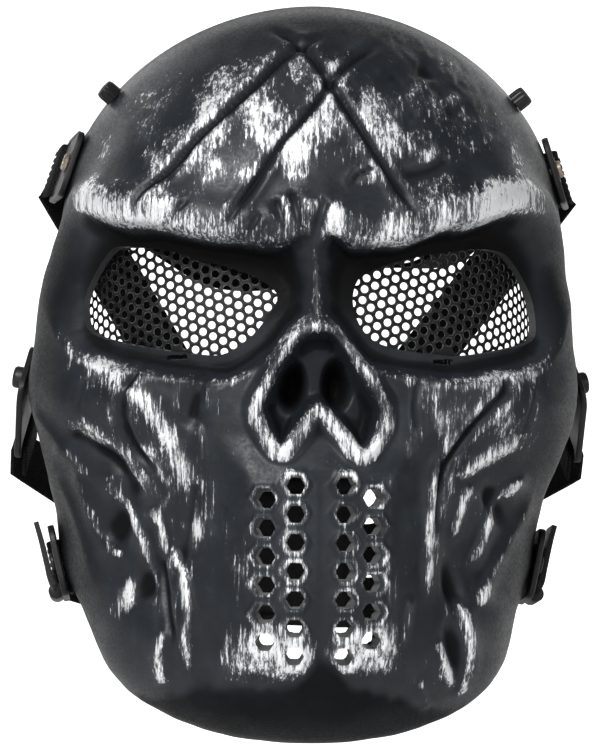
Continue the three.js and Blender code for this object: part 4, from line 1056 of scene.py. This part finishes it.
# %% Seats on the shell
WEBBING_WIDTH, WEBBING_THICK = 20.0, 1.6
PLATE_THICK, RIM_OF_PLATE, SLOT, FOLD_TAIL = 2.4, 3.2, 5.4, 9.0
PLATE_SAG = 2.7
LEAF_BAR, LEAF_THICK, SCREW_CLEARANCE = 2.9, 1.6, 3.8
SCREW_SHANK, NUT_WIDTH, NUT_THICK = 3.0, 6.0, 1.8
PLATE_BEVEL, HEAD_STEPS = 0.55, 60
# Shares of the way across and down, degrees of tilt, then front, reach, width, head and rise in
# shares of the webbing's width.
ANCHORS = {
    "top_plate": (0.505, 0.038, 20, 0.3, 1.25, 1.25, 0.36, 0.28),
    "temple_plate": (0.69, 0.055, 6, 0.3, 1.35, 1.25, 0.3, 0.04),
    "ear_buckle": (0.9, 0.465, 42, 0.35, 1.65, 1.3, 0.4, 0.17),
    "jaw_buckle": (0.79, 0.75, 8, 0.35, 1.55, 1.3, 0.3, 0.06),
}
SIDES = {"left": -1, "right": 1}
SCREWS = {"top_plate": "top_plate_screw", "temple_plate": "temple_rivet",
          "ear_buckle": "ear_buckle_screw", "jaw_buckle": "jaw_buckle_screw"}


def unit(v):
    """A vector divided by its length."""
    return v / np.linalg.norm(v, axis=-1, keepdims=True)


def seat(name, hand, sunk=0.0):
    """An origin and three axes: along the plate, across it and out from the shell."""
    share, down, tilt = ANCHORS[name][:3]
    across, down = np.array(share * hand), np.array(down)
    out = outward(across, down)
    back = unit(np.array([0, 1, 0]) - out * out[1])
    below = np.array([0, 0, -1]) + out * out[2]
    below = unit(below - back * (below @ back))
    angle = math.radians(tilt)
    along = back * math.cos(angle) + below * math.sin(angle)
    place = plain_face(across, down)
    lift = (hollows(place[0], place[2]) + swellings(place[0], place[2])) * fade(across, down)
    return place + out * (float(lift) + GAP - sunk), np.stack([along, np.cross(out, along), out])


def sizes(name):
    """Front, reach, width, head and rise of an anchor in millimetres."""
    return [share * WEBBING_WIDTH for share in ANCHORS[name][3:]]


def set_down(points, place):
    """Points of a piece's own drawing, carried to its seat on the shell."""
    origin, axes = place
    return origin + np.asarray(points) @ axes


TOP_SUNK = WALL + 2 * GAP + PLATE_THICK + PLATE_SAG
for name in ANCHORS:
    front, reach, width, _, _ = sizes(name)
    heights = (0, PLATE_THICK)
    corners = [(x, y, z) for x in (-front, reach) for y in (-width / 2, width / 2) for z in heights]
    place = seat(name, -1, TOP_SUNK if name == "top_plate" else 0)
    row = (set_down(corners, place) - BEARING) * MM
    low, high = (np.array(v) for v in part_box(name + "_left"))
    apart = float(np.abs([row.min(0) - low, row.max(0) - high]).max()) / MM
    print(name, "square corners and its solid's box differ by up to", round(apart, 1), "mm")

# %% [markdown]
# ## Skins from rings of points
# Screws, plates and straps are all rings of points with a skin between them. One helper makes the
# skin, closes its ends with a point in the middle, and turns it the right way out by the sign of
# its volume.

# %% Rings, profiles and rounded outlines
def skin(rings, capped=True):
    """Triangles between neighbouring rings. The volume, a sum of p . (q x r) / 6, must be positive."""
    count, size = rings.shape[:2]
    index = np.arange(count * size).reshape(count, size)
    points = rings.reshape(-1, 3)
    if capped:
        faces = strip(index[:-1], index[1:])
        ends = np.stack([rings[0].mean(0), rings[-1].mean(0)])
        first, last = count * size, count * size + 1
        points = np.vstack([points, ends])
        middle = np.full(size, first)
        caps = [np.stack([index[0], middle, np.roll(index[0], -1)], 1),
                np.stack([index[-1], np.roll(index[-1], -1), middle + last - first], 1)]
        faces = np.vstack([faces] + caps)
    else:
        faces = strip(index, np.roll(index, -1, 0))
    p, q, r = points[faces[:, 0]], points[faces[:, 1]], points[faces[:, 2]]
    volume = np.sum(p * np.cross(q, r)) / 6
    return points, faces if volume > 0 else faces[:, ::-1]


def turned(profile, steps=48, waves=0, wave=0.0):
    """A profile of radius and height, turned about the upright axis. Waves knurl its edge."""
    profile = np.asarray(profile, float)
    turn = np.linspace(0, 2 * np.pi, steps, endpoint=False)
    knurl = 1 + wave * np.cos(waves * turn) if waves else np.ones(steps)
    radius = profile[:, :1] * knurl
    return np.stack([radius * np.cos(turn), radius * np.sin(turn), np.repeat(profile[:, 1:], steps, 1)], -1)


def rounded(left, right, low, high, radius, steps=64):
    """A rectangle with round corners, as points that follow each other by equal turns of a ray."""
    middle = np.array([(left + right) / 2, (low + high) / 2])
    half = np.array([(right - left) / 2, (high - low) / 2])
    turn = np.linspace(0, 2 * np.pi, steps, endpoint=False)
    ray = np.stack([np.cos(turn), np.sin(turn)], 1)
    reach = np.zeros(steps)
    length = np.linspace(0, float(np.hypot(*half)), 1500)
    for k in range(steps):
        spot = np.abs(ray[k]) * length[:, None]
        past = np.maximum(spot - (half - radius), 0)
        inside = (np.hypot(past[:, 0], past[:, 1]) <= radius) & (spot <= half).all(1)
        reach[k] = length[inside].max()
    return middle + ray * reach[:, None]


def through(points, steps):
    """A centripetal Catmull-Rom curve: tangents weighted by the square roots of the gaps."""
    p = np.asarray(points, float)
    wide = np.vstack([2 * p[0] - p[1], p, 2 * p[-1] - p[-2]])
    t = np.linspace(0, len(p) - 1, steps)
    i = np.minimum(t.astype(int), len(p) - 2)
    w = (t - i)[:, None]
    a, b, c, d = (wide[i + k] for k in range(4))
    ab, bc, cd = (
        np.maximum(np.sum((u - v) ** 2, 1) ** 0.25, 1e-3)[:, None] for u, v in ((a, b), (b, c), (c, d))
    )
    start = ((b - a) / ab - (c - a) / (ab + bc) + (c - b) / bc) * bc
    end = ((c - b) / bc - (d - b) / (bc + cd) + (d - c) / cd) * bc
    return b + start * w + (3 * (c - b) - 2 * start - end) * w**2 + (2 * (b - c) + start + end) * w**3


sample = skin(turned([(1, 0), (1, 1)]))
print("a turned ring of 48 steps closes with", len(sample[1]), "triangles")


# %% [markdown]
# ## Plates, buckles, screws and rivets
# The straps leave the shell through black moulded plates, each held by one fastener. A plate is a
# rounded tongue with a slot near its end, so its skin runs round a closed profile: up the outer
# edge, over the top, down through the slot and back underneath. Small round-overs on every
# edge are what makes a moulded part read as moulded.

# %% A plate with a slot
def plate_skin(name):
    """Thirteen stations, from the outer outline over to the slot's and back underneath."""
    front, reach, width, _, _ = sizes(name)
    slot_end = reach - RIM_OF_PLATE
    outer = rounded(-front, reach, -width / 2, width / 2, width * 0.24, 96)
    half = WEBBING_WIDTH / 2 + GAP
    slot = rounded(slot_end - SLOT, slot_end, -half, half, SLOT * 0.3, 96)
    start = np.array([(slot_end - SLOT / 2), 0.0])
    angle = np.arctan2(outer[:, 1] - start[1], outer[:, 0] - start[0])
    slot_angle = np.unwrap(np.arctan2(slot[:, 1], slot[:, 0] - start[0]))
    order = np.argsort(slot_angle % (2 * np.pi))
    wanted = angle % (2 * np.pi)
    slot_turn = (slot_angle % (2 * np.pi))[order]
    matched = [np.interp(wanted, slot_turn, slot[order, k], period=2 * np.pi) for k in (0, 1)]
    matched = np.stack(matched, 1)
    inwards, away = unit(start - outer), unit(matched - start)
    bevel, top = PLATE_BEVEL, PLATE_THICK
    stations = [
        (outer, bevel), (outer, top - bevel), (outer + inwards * bevel * 0.3, top - bevel * 0.3),
        (outer + inwards * bevel, top), (outer + inwards * 1.6, top), (outer + inwards * 2.0, top - 0.35),
        (matched + away * 1.0, top - 0.35), (matched + away * 0.7, top), (matched + away * 0.3, top),
        (matched, top - 0.3), (matched, 0.3), (matched + away * 0.3, 0), (outer + inwards * bevel, 0),
    ]
    rings = np.stack([np.column_stack([flat, np.full(len(flat), float(z))]) for flat, z in stations])
    return skin(rings, capped=False)


def screw_skins(name):
    """A stepped and rounded head with a six-sided key hole, and the shank below it."""
    _, _, _, head, rise = sizes(name)
    radius = head / 2
    stand = 0.0 if name == "top_plate" else PLATE_THICK + GAP
    foot = -TOP_SUNK - GAP if name == "top_plate" else -WALL
    key = radius * 0.42
    if name == "temple_plate":
        rim = [
            (radius * 0.5, -0.2), (radius * 0.5, rise + 0.2), (radius * 0.6, rise + 0.65),
            (radius * 0.85, rise + 0.7), (radius * 1.02, rise + 0.35), (radius * 1.05, 0.05),
        ]
        ring = turned([(r, h + stand) for r, h in rim], 40)
        pin = turned([(radius * 0.38, foot), (radius * 0.38, stand + 0.1), (radius * 0.3, stand + 0.25)], 32)
        return [skin(ring, capped=False), skin(pin)]
    profile = [
        (radius * 0.9, 0), (radius, 0.18), (radius, rise * 0.62), (radius * 0.97, rise * 0.8),
        (radius * 0.88, rise * 0.95), (radius * 0.74, rise), (key * 1.12, rise), (key, rise * 0.96),
        (key, rise * 0.45),
    ]
    knurled = name == "top_plate"
    rings = turned([(r, h + stand) for r, h in profile], HEAD_STEPS, 20 if knurled else 0, 0.025)
    turn = np.linspace(0, 2 * np.pi, HEAD_STEPS, endpoint=False)
    flats = np.cos(np.pi / 6) / np.cos((turn + np.pi / 6) % (np.pi / 3) - np.pi / 6)
    rings[-3:, :, :2] *= flats[:, None]
    shank = turned([(SCREW_SHANK / 2, foot), (SCREW_SHANK / 2, stand + 0.1)], 24)
    parts = [skin(rings), skin(shank)]
    if name == "top_plate":
        wide, low = NUT_WIDTH / 2, foot - NUT_THICK
        nut = [(wide - 0.4, low), (wide, low + 0.2), (wide, foot - 0.2), (wide - 0.4, foot)]
        nut = turned(nut, HEAD_STEPS)
        nut[:, :, :2] *= flats[:, None]
        parts.append(skin(nut))
    return parts


def jaw_leaf(hand):
    """A leaf that springs from a round bar: a bent line with a thickness, carried back along the
    plate, and a bar at its foot."""
    _, reach, width, _, _ = sizes("jaw_buckle")
    bar, thick = LEAF_BAR, LEAF_THICK
    foot, tip = -hand * (width / 2 - bar), hand * (width / 2 + bar)
    start = SCREW_CLEARANCE
    length = reach - RIM_OF_PLATE - SLOT - RIM_OF_PLATE * 0.3 - start
    line = through([(foot, 3.6), (foot + hand * 4, 5.2), (0, 5.4), (tip * 0.6, 5.6), (tip, 6.0)], 30)
    along_line = unit(np.gradient(line, axis=0))
    side = np.stack([-along_line[:, 1], along_line[:, 0]], 1) * thick / 2
    swell = np.linspace(1.4, 1.15, len(line))[:, None]
    outline = np.vstack([line + side * swell, (line - side * swell)[::-1]])
    ends = [(0.0, 0.86), (0.25, 0.96), (0.7, 1.0)]
    ends = ends + [(length - back, grow) for back, grow in ends[::-1]]
    middle = outline.mean(0)
    rings = []
    for back, grow in ends:
        drawn = middle + (outline - middle) * [1 - (1 - grow) * 0.08, grow]
        rings.append(np.column_stack([np.full(len(drawn), start + back), drawn]))
    turn = np.linspace(0, 2 * np.pi, 36, endpoint=False)
    roll = []
    for back, grow in ends:
        circle = bar * grow * np.stack([np.cos(turn), np.sin(turn)], 1) + [foot, 1.2 + bar]
        roll.append(np.column_stack([np.full(36, start + back), circle]))
    return [skin(np.stack(rings)), skin(np.stack(roll))]


hardware = []
for name in ANCHORS:
    sunk = TOP_SUNK if name == "top_plate" else 0
    for label, hand in SIDES.items():
        parts = [plate_skin(name)]
        if name == "jaw_buckle":
            parts = parts + jaw_leaf(hand)
        if name != "top_plate":
            head = sizes(name)[3]
            boss = [(2.2, -0.5), (1.6, 0.12), (0.8, 0.2), (0.4, -0.5)]
            boss = [(head * 0.5 + wide, PLATE_THICK + high) for wide, high in boss]
            parts.append(skin(turned(boss, 48), capped=False))
        points, faces = stacked([(set_down(p, seat(name, hand, sunk)), f) for p, f in parts])
        plate = make_mesh(f"{name}_moulded_{label}", points, faces)
        plate.data.set_sharp_from_angle(angle=math.radians(42))
        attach(plate, "root")
        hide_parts(f"{name}_{label}")
        points, faces = stacked([(set_down(p, seat(name, hand)), f) for p, f in screw_skins(name)])
        screw = make_mesh(f"{SCREWS[name]}_turned_{label}", points, faces)
        screw.data.set_sharp_from_angle(angle=math.radians(38))
        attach(screw, "root")
        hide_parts(f"{SCREWS[name]}_{label}")
        hardware.append((name, plate, screw))
print("plates and fasteners:", 2 * len(hardware), "pieces")
print("triangles in the plates:", sum(len(plate.data.polygons) for _, plate, _ in hardware))

# %% [markdown]
# ## The straps
# Webbing is a flat woven band about 1.6 mm thick with firmer selvedges. A strap starts in a fold
# through its plate's slot, runs back to the pad and ends sewn down. Its middle line goes through
# the same few stops as its solid, in finer steps, and its section gets round selvedges. Two
# values kept on its points, along and across in millimetres, let the weave follow the band.

# %% Folds, runs and bands
LEVEL = GAP + WEBBING_THICK / 2
PAD_WIDTH, PAD_HEIGHT, PAD_THICK, PAD_CORNER = 62.0, 60.0, 4.0, 6.0
PAD_DROP, PAD_BACK, SEW_ON = 95.0, 86.0, 14.0
CROWN_BACK, CROWN_HEIGHT = 62.0, 17.0
# Half of the webbing's section, as shares of its half width and half thickness.
BAND_SHAPE = np.array([
    [-1, -0.985, -0.955, -0.9, -0.86, -0.5, 0, 0.5, 0.86, 0.9, 0.955, 0.985],
    [0, 0.62, 0.95, 1, 0.84, 0.86, 0.86, 0.86, 0.84, 1, 0.95, 0.62],
])


def fold(name, hand, sunk=0.0):
    """The middle line of the fold round the bar of a plate's slot, and the direction across."""
    reach = sizes(name)[1]
    middle = reach - RIM_OF_PLATE - SLOT / 2
    turn = np.radians(np.linspace(-60, 60, 9))
    x = middle + SLOT / 2 - SLOT / 2 * np.cos(turn)
    z = PLATE_THICK / 2 + (PLATE_THICK / 2 + LEVEL) * np.sin(turn)
    top = PLATE_THICK + LEVEL
    line = [(reach + FOLD_TAIL, -LEVEL), (reach, -LEVEL), (reach - RIM_OF_PLATE, -LEVEL), *zip(x, z),
            (reach - RIM_OF_PLATE, top), (reach, top), (reach + FOLD_TAIL, top)]
    place = seat(name, hand, sunk)
    points = set_down([(a, 0, b) for a, b in line], place)
    return points, np.repeat(place[1][1:2], len(points), 0)


def band(points, widths):
    """A round-edged section carried along a line: its out is along times across."""
    along = unit(np.gradient(points, axis=0))
    across = widths - along * np.sum(along * widths, 1, keepdims=True)
    across = unit(across)
    out = np.cross(along, across)
    u, v = BAND_SHAPE * [[WEBBING_WIDTH / 2], [WEBBING_THICK / 2]]
    u, v = np.concatenate([u, -u]), np.concatenate([v, -v])
    rings = points[:, None] + across[:, None] * u[:, None] + out[:, None] * v[:, None]
    length = np.concatenate([[0], np.cumsum(np.linalg.norm(np.diff(points, axis=0), axis=1))])
    made, faces = skin(rings)
    ends = [length[0], length[-1]]
    along_value = np.concatenate([np.repeat(length, len(u)), ends])
    across_value = np.concatenate([np.tile(u, len(points)), [0, 0]])
    return made, faces, {"along": along_value, "across": across_value}


# How far each row of stitches lies along the band, from the middle of the seam.
PAD_ROWS, FOLD_ROWS = (-5, 5.4, 4, -3.6), (-1.5, 0.5)
STITCHES, STITCH_PITCH = 7, 2.5
STITCH_HALF, THREAD_HALF = 0.85, 0.26


def sewn(centre, along, across, rows):
    """Places of stitches in rows: middle, direction along the stitch and direction out."""
    out = np.cross(along, across)
    places = []
    for offset in rows:
        for k in range(STITCHES):
            middle = centre + along * offset + across * ((k - (STITCHES - 1) / 2) * STITCH_PITCH)
            places.append((middle + out * WEBBING_THICK * 0.5, across, out))
    return places


stitch_places = []
straps = []


def lay_strap(name, points, widths):
    """The strap as a piece that takes its solid's place."""
    made, faces, values = band(points, widths)
    piece = make_mesh("woven_" + name, made, faces, values)
    piece.data.set_sharp_from_angle(angle=math.radians(60))
    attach(piece, "root")
    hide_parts(name)
    straps.append(piece)
    low, high = (np.array(v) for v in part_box(name))
    row = (made - BEARING) * MM
    beyond = float(max((low - row.min(0)).max(), (row.max(0) - high).max())) / MM
    print(name, "mm beyond its solid:", round(beyond, 1))


# Each strap is its anchor, then its end, inset, slope and bow as in the solids.
STRAPS = {
    "upper_strap": ("temple_plate", 0.52, 0.13, 60, -0.025),
    "ear_strap": ("ear_buckle", 0.02, 0, 0, 0.04),
    "lower_strap": ("jaw_buckle", -0.335, 0, 0, 0.04),
}
for name, (anchor, end, inset, slope, bow) in STRAPS.items():
    for label, hand in SIDES.items():
        points, widths = fold(anchor, hand)
        angle = math.radians(slope)
        across = np.array([-math.sin(angle), 0, hand * math.cos(angle)])
        foot = np.array([
            hand * PAD_WIDTH * (0.5 - inset), PAD_BACK + PAD_THICK + LEVEL, -PAD_DROP + end * PAD_HEIGHT,
        ])
        into = np.array([-hand * math.cos(angle), 0, -math.sin(angle)])
        edge = foot + into * (-WEBBING_THICK * 3 - WEBBING_WIDTH * 0.5 * math.sin(angle))
        start, start_width = points[-1], widths[-1]
        width = unit(start_width + across)
        length = np.linalg.norm(edge - start)
        out = unit(np.cross(edge - start, width))
        middle = (start + edge) / 2 + out * length * bow
        stops = np.array([start, middle, edge, foot + into * SEW_ON * 0.3, foot + into * SEW_ON])
        turns = np.array([start_width, width, across, across, across])
        line, lie = through(stops, 90), unit(through(turns, 90))
        lay_strap(f"{name}_{label}", np.vstack([points[:-1], line]), np.vstack([widths[:-1], lie]))
        stitch_places += sewn(foot + into * SEW_ON * 0.55, into, across, PAD_ROWS)
        stitch_places += sewn(start, unit(points[-1] - points[-2]), start_width, FOLD_ROWS)

CROWN_STOPS = np.array([
    (72, 0.7, 0), (50, 0.36, 0), (36, 0.17, 0), (22, 0.01, 0), (0, 0, 0.3),
    (-23, 0, 1), (-46, 0.02, 1), (-60, 0.2, 1), (-74, 0.66, 0.8),
])
left_points, left_widths = fold("top_plate", -1, TOP_SUNK)
right_points, right_widths = fold("top_plate", 1, TOP_SUNK)
start = left_points[-1]
turn, share = np.radians(CROWN_STOPS[:, 0]), np.abs(CROWN_STOPS[:, 0]) / 90
rise, flat = CROWN_STOPS[:, 1], CROWN_STOPS[:, 2:3]
stops = np.stack([
    start[0] * 0.96 * np.sin(turn), CROWN_BACK * np.cos(turn) ** 0.8 + start[1] * share**3,
    CROWN_HEIGHT + (start[2] - CROWN_HEIGHT) * rise,
], 1)
upright = unit(np.stack([np.sin(turn) * -0.5 * share, -0.2 * share, -np.ones(len(turn))], 1))
lying = np.stack([-np.sin(turn), np.cos(turn), np.zeros(len(turn))], 1)
turns = unit(upright * (1 - flat) + lying * flat)
line = through(np.vstack([start, stops, right_points[-1]]), 190)
lie = unit(through(np.vstack([left_widths[-1], turns, -right_widths[-1]]), 190))
lay_strap("crown_strap", np.vstack([left_points[:-1], line, right_points[:-1][::-1]]),
          np.vstack([left_widths[:-1], lie, -right_widths[:-1][::-1]]))

# %% [markdown]
# ## The pad and the stitches
# The pad behind the head is thin foam in cloth, bound round its edge. It is flat where the straps
# are sewn over its back, crowned towards the head, and drawn in along a seam that follows its
# border. One set of rings grows from the middle of the back, round the binding, to the middle of
# the front, and each ring is moved by the same few soft steps.

# %% The crowned pad
PAD_RING, PAD_CROWN, SEAM_DEPTH = 240, 4.4, 1.9


def pad_points():
    """The front's crown is PAD_CROWN (1 - s^4), s from the middle out, less the seam's bell and a
    few puckers. The binding is a half round."""
    outline = rounded(-PAD_WIDTH / 2, PAD_WIDTH / 2, -PAD_HEIGHT / 2, PAD_HEIGHT / 2, PAD_CORNER, PAD_RING)
    pulled = 1 - 0.012 * np.cos(4 * np.arctan2(outline[:, 1], outline[:, 0]))[:, None] - 0.012
    outline = outline * pulled
    back = np.linspace(0.02, 0.93, 22)
    turn = np.linspace(-np.pi / 2, np.pi / 2, 9)
    rings, bound = [], []
    for s in back:
        flat = outline * s
        wave = 0.25 * lumps(flat[:, 0], flat[:, 1], 9, 3)
        y = PAD_BACK + PAD_THICK - 0.35 + np.minimum(wave, 0) - 0.3 * bell(s - 0.86, 0.03)
        rings.append(np.stack([flat[:, 0], y, flat[:, 1]], 1))
        bound.append(0)
    for t in turn:
        grow = 0.945 + 0.05 * math.cos(t)
        flat = outline * grow
        y = PAD_BACK + PAD_THICK / 2 - math.sin(t) * PAD_THICK * 0.5
        rings.append(np.stack([flat[:, 0], np.full(len(flat), y), flat[:, 1]], 1))
        bound.append(1)
    for s in np.linspace(0.925, 0.02, 40):
        flat = outline * s
        pucker = lumps(flat[:, 0] * 1.6, flat[:, 1] * 1.6, 4, 7) * bell(s - 0.74, 0.12)
        crown_rise = PAD_CROWN * (1 - s**4) + 0.5 * lumps(flat[:, 0], flat[:, 1], 14, 5)
        y = PAD_BACK + 0.4 - crown_rise + SEAM_DEPTH * bell(s - 0.8, 0.035) - 0.5 * pucker
        rings.append(np.stack([flat[:, 0], y, flat[:, 1]], 1))
        bound.append(0)
    made, faces = skin(np.stack(rings))
    made[:, 2] -= PAD_DROP
    return made, faces, np.concatenate([np.repeat(np.array(bound, float), PAD_RING), [0, 0]])


made, faces, bound = pad_points()
pad = make_mesh("sewn_back_pad", made, faces, {"bound": bound})
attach(pad, "root")
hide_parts("back_pad")


def thread(places):
    """Each stitch is a small spindle of six sides, bedded halfway into the webbing."""
    ends = np.array([-1.0, -0.75, 0, 0.75, 1.0]) * STITCH_HALF
    thick = np.array([0.1, 0.8, 1, 0.8, 0.1]) * THREAD_HALF
    turn = np.arange(6) * np.pi / 3
    parts = []
    for middle, along, out in places:
        side = np.cross(along, out)
        ring = np.cos(turn)[:, None] * side + np.sin(turn)[:, None] * out
        rings = middle + ends[:, None, None] * along + thick[:, None, None] * ring
        parts.append(skin(rings))
    return stacked(parts)


stitches = make_mesh("sewing_thread", *thread(stitch_places))
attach(stitches, "root")
print("pad:", len(faces), "triangles, stitches:", len(stitch_places))

# %% [markdown]
# ## The finishes of the harness
# The screens are blackened steel with a painted highlight on the holes' rims, where their colour
# is a lighter, more metal grey. The plates are moulded plastic with a faint grain, the screws black
# steel, the rivets bare brownish steel. Webbing and pad are black cloth: a herringbone weave made
# of sine waves over the kept values, and a fine plain weave for the cover.

# %% Steel, plastic, webbing and cloth
def hard_finish(name, colour, lighter, metal, rough, grain_scale, grain_depth):
    """A hard material with cloudy colour, uneven gloss and a fine grain."""
    made, tree, shader, place = finish(name)
    cloud = noise(tree, place, 90, 3)
    fine_grain = noise(tree, place, grain_scale, 2)
    wire_all(tree, shader, {
        "Base Color": mixed(tree, ramp(tree, cloud, 0.3, 0.75), colour, lighter),
        "Roughness": ramp(tree, cloud, 0.2, 0.8, rough, rough + 0.14),
        "Metallic": metal,
        "Specular IOR Level": 0.3,
    })
    bumped(tree, shader, fine_grain, grain_depth, 0.6)
    return made


screen_finish, tree, shader, place = finish("blackened_punched_steel")
# Painted highlight: where the glint value is high, the scuffs decide where the rims turn a lighter, more
# metal grey.
glint = painted_value(tree, "glint")
scuffs = noise(tree, stretched(tree, place, (300, 200, 900)), 1, 3)
painted_rim_glint = maths(tree, "MULTIPLY", ramp(tree, glint, 0.5, 1.0), ramp(tree, scuffs, 0.42, 0.7))
wire_all(tree, shader, {
    "Base Color": mixed(tree, painted_rim_glint, (0.005, 0.005, 0.0055, 1), (0.13, 0.135, 0.14, 1)),
    "Specular IOR Level": 0.2,
    "Metallic": maths(tree, "MULTIPLY", painted_rim_glint, 0.8),
    "Roughness": ramp(tree, scuffs, 0.2, 0.8, 0.42, 0.62),
})
bumped(tree, shader, scuffs, 0.00008, 0.5)
for piece in screens:
    piece.data.materials.append(screen_finish)
moulded = hard_finish(
    "black_moulded_plastic", (0.005, 0.005, 0.0055, 1), (0.009, 0.009, 0.01, 1), 0.0, 0.42, 1600, 0.0001)
dark_steel = hard_finish(
    "black_screw_steel", (0.014, 0.014, 0.015, 1), (0.035, 0.035, 0.036, 1), 0.5, 0.34, 900, 0.00005)
tan_steel = hard_finish(
    "bare_rivet_steel", (0.26, 0.22, 0.17, 1), (0.42, 0.37, 0.3, 1), 0.8, 0.34, 700, 0.00005)
for name, plate, screw in hardware:
    plate.data.materials.append(moulded)
    screw.data.materials.append(tan_steel if name == "temple_plate" else dark_steel)


def waves(tree, value, pitch):
    """The sine of the value, with a full wave in each pitch."""
    return maths(tree, "SINE", maths(tree, "MULTIPLY", value, 2 * math.pi / pitch))


webbing, tree, shader, place = finish("black_herringbone_webbing")
along, across = painted_value(tree, "along"), painted_value(tree, "across")
chevron = maths(tree, "PINGPONG", maths(tree, "ADD", across, 20.0), 2.5)
twill = waves(tree, maths(tree, "ADD", along, chevron), 1.5)
yarns = waves(tree, across, 0.8)
weave = maths(tree, "ADD", maths(tree, "MULTIPLY", twill, 0.7), maths(tree, "MULTIPLY", yarns, 0.3))
fuzz = noise(tree, place, 2200, 2)
shade = ramp(tree, maths(tree, "ADD", weave, fuzz), -0.6, 1.6)
strap_colour = mixed(tree, shade, (0.003, 0.003, 0.0035, 1), (0.012, 0.012, 0.013, 1))
wire_all(tree, shader, {"Base Color": strap_colour, "Roughness": 0.9, "Specular IOR Level": 0.1})
bumped(tree, shader, weave, 0.00016, 0.8)
for piece in straps:
    piece.data.materials.append(webbing)

cover, tree, shader, place = finish("black_pad_cover")
apart = separate(tree, place)
warp, weft = waves(tree, apart.outputs["X"], 0.0011), waves(tree, apart.outputs["Z"], 0.0011)
cloth = maths(tree, "MULTIPLY", warp, weft)
bound_share = painted_value(tree, "bound")
fuzz = noise(tree, place, 400, 3)
cloth_colour = mixed(tree, fuzz, (0.006, 0.006, 0.0065, 1), (0.018, 0.018, 0.019, 1))
cloth_colour = mixed(tree, bound_share, cloth_colour, (0.007, 0.007, 0.008, 1))
wire_all(tree, shader, {"Base Color": cloth_colour, "Roughness": 0.92, "Specular IOR Level": 0.15})
bumped(tree, shader, cloth, 0.00014, 0.7)
pad.data.materials.append(cover)

sewing = hard_finish(
    "grey_sewing_thread", (0.03, 0.03, 0.032, 1), (0.06, 0.06, 0.063, 1), 0.0, 0.7, 1500, 0.0001)
stitches.data.materials.append(sewing)
print("materials:", len(bpy.data.materials))

# %% [markdown]
# ## The light and the camera
# The photograph is a plain studio picture: white all round, one broad light high on the left
# and a weaker one on the right. The camera is long and level with the eyes, turned a few
# degrees to one side, so the lens is worked out from the size of a millimetre in the picture.
# Lamps alone leave the paper behind the mask grey, or light the mask too much. So the paper glows
# by itself there, and that part of it makes the background white.

# %% Floor, lights and camera
PHOTO_WIDTH = 600
MM_PER_PIXEL = 0.366
DISTANCE, FACE_NEARER, SENSOR = 1300, 10, 36
TURN, ROLL = math.radians(-3.26), math.radians(0.6)
target = (np.array([0, 0, -25.5]) - BEARING) * MM
back = np.array([math.sin(TURN), -math.cos(TURN), 0])
right = np.array([math.cos(TURN), math.sin(TURN), 0])
upwards = np.array([0, 0, 1.0])
rolled_right = right * math.cos(ROLL) + upwards * math.sin(ROLL)
rolled_up = -right * math.sin(ROLL) + upwards * math.cos(ROLL)
camera = bpy.data.objects.new("camera", bpy.data.cameras.new("camera"))
camera.data.sensor_fit = "HORIZONTAL"
camera.data.sensor_width = SENSOR
camera.data.lens = SENSOR * ((DISTANCE - FACE_NEARER) / MM_PER_PIXEL) / PHOTO_WIDTH
camera.data.shift_x = 1 / PHOTO_WIDTH
camera.data.clip_end = 20
pose = Matrix([list(rolled_right), list(rolled_up), list(back)]).transposed().to_4x4()
pose.translation = Vector(target + back * DISTANCE * MM)
camera.matrix_world = pose
bpy.context.scene.collection.objects.link(camera)
bpy.context.scene.camera = camera
print("lens in mm:", round(camera.data.lens, 1))


def studio_cove(low, depth, width, height, radius):
    """A floor that turns up into a wall: a line, a quarter circle and a line, drawn sideways."""
    angle = np.linspace(0, math.pi / 2, 24)
    y = np.concatenate([[-depth], depth - radius + radius * np.sin(angle), [depth]])
    z = np.concatenate([[low], low + radius * (1 - np.cos(angle)), [height]])
    return np.stack(np.broadcast_arrays([-width, width], y[:, None], z[:, None]), -1)


low = cad_box[0][2] - 0.12
cove_points = studio_cove(low, depth=7, width=7, height=6, radius=2)
cove_faces = grid_faces(len(cove_points), 2, flip=True)
cove = make_mesh("floor", cove_points.reshape(-1, 3) / MM + BEARING, cove_faces)
white, tree, shader, place = finish("pale_paper")
apart = separate(tree, place)
glow = ramp(tree, apart.outputs["Y"], 0.4, 1.0)
wire_all(tree, shader, {
    "Base Color": (0.86, 0.86, 0.86, 1), "Roughness": 0.9,
    "Emission Color": (1, 1, 1, 1), "Emission Strength": glow,
})
cove.data.materials.append(white)


def soft_light(name, at, size, power, aim=(0, 0.03, -0.09)):
    """A square area light that looks at the mask."""
    light = bpy.data.lights.new(name, "AREA")
    light.shape, light.size, light.energy = "SQUARE", size, power
    lamp = bpy.data.objects.new(name, light)
    lamp.location = at
    lamp.rotation_euler = (Vector(aim) - Vector(at)).to_track_quat("-Z", "Y").to_euler()
    bpy.context.scene.collection.objects.link(lamp)


soft_light("key_light", (-0.8, -1.5, 1.0), 0.8, 46)
soft_light("fill_light", (1.3, -1.4, 0.3), 0.9, 8)
soft_light("top_light", (-0.2, -0.3, 1.5), 1.0, 2)
sky = bpy.data.worlds.new("studio")
sky.use_nodes = True
background = sky.node_tree.nodes["Background"]
wire_all(sky.node_tree, background, {"Color": (1, 1, 1, 1), "Strength": 0.12})
bpy.context.scene.world = sky
bpy.context.scene.view_settings.view_transform = "Standard"
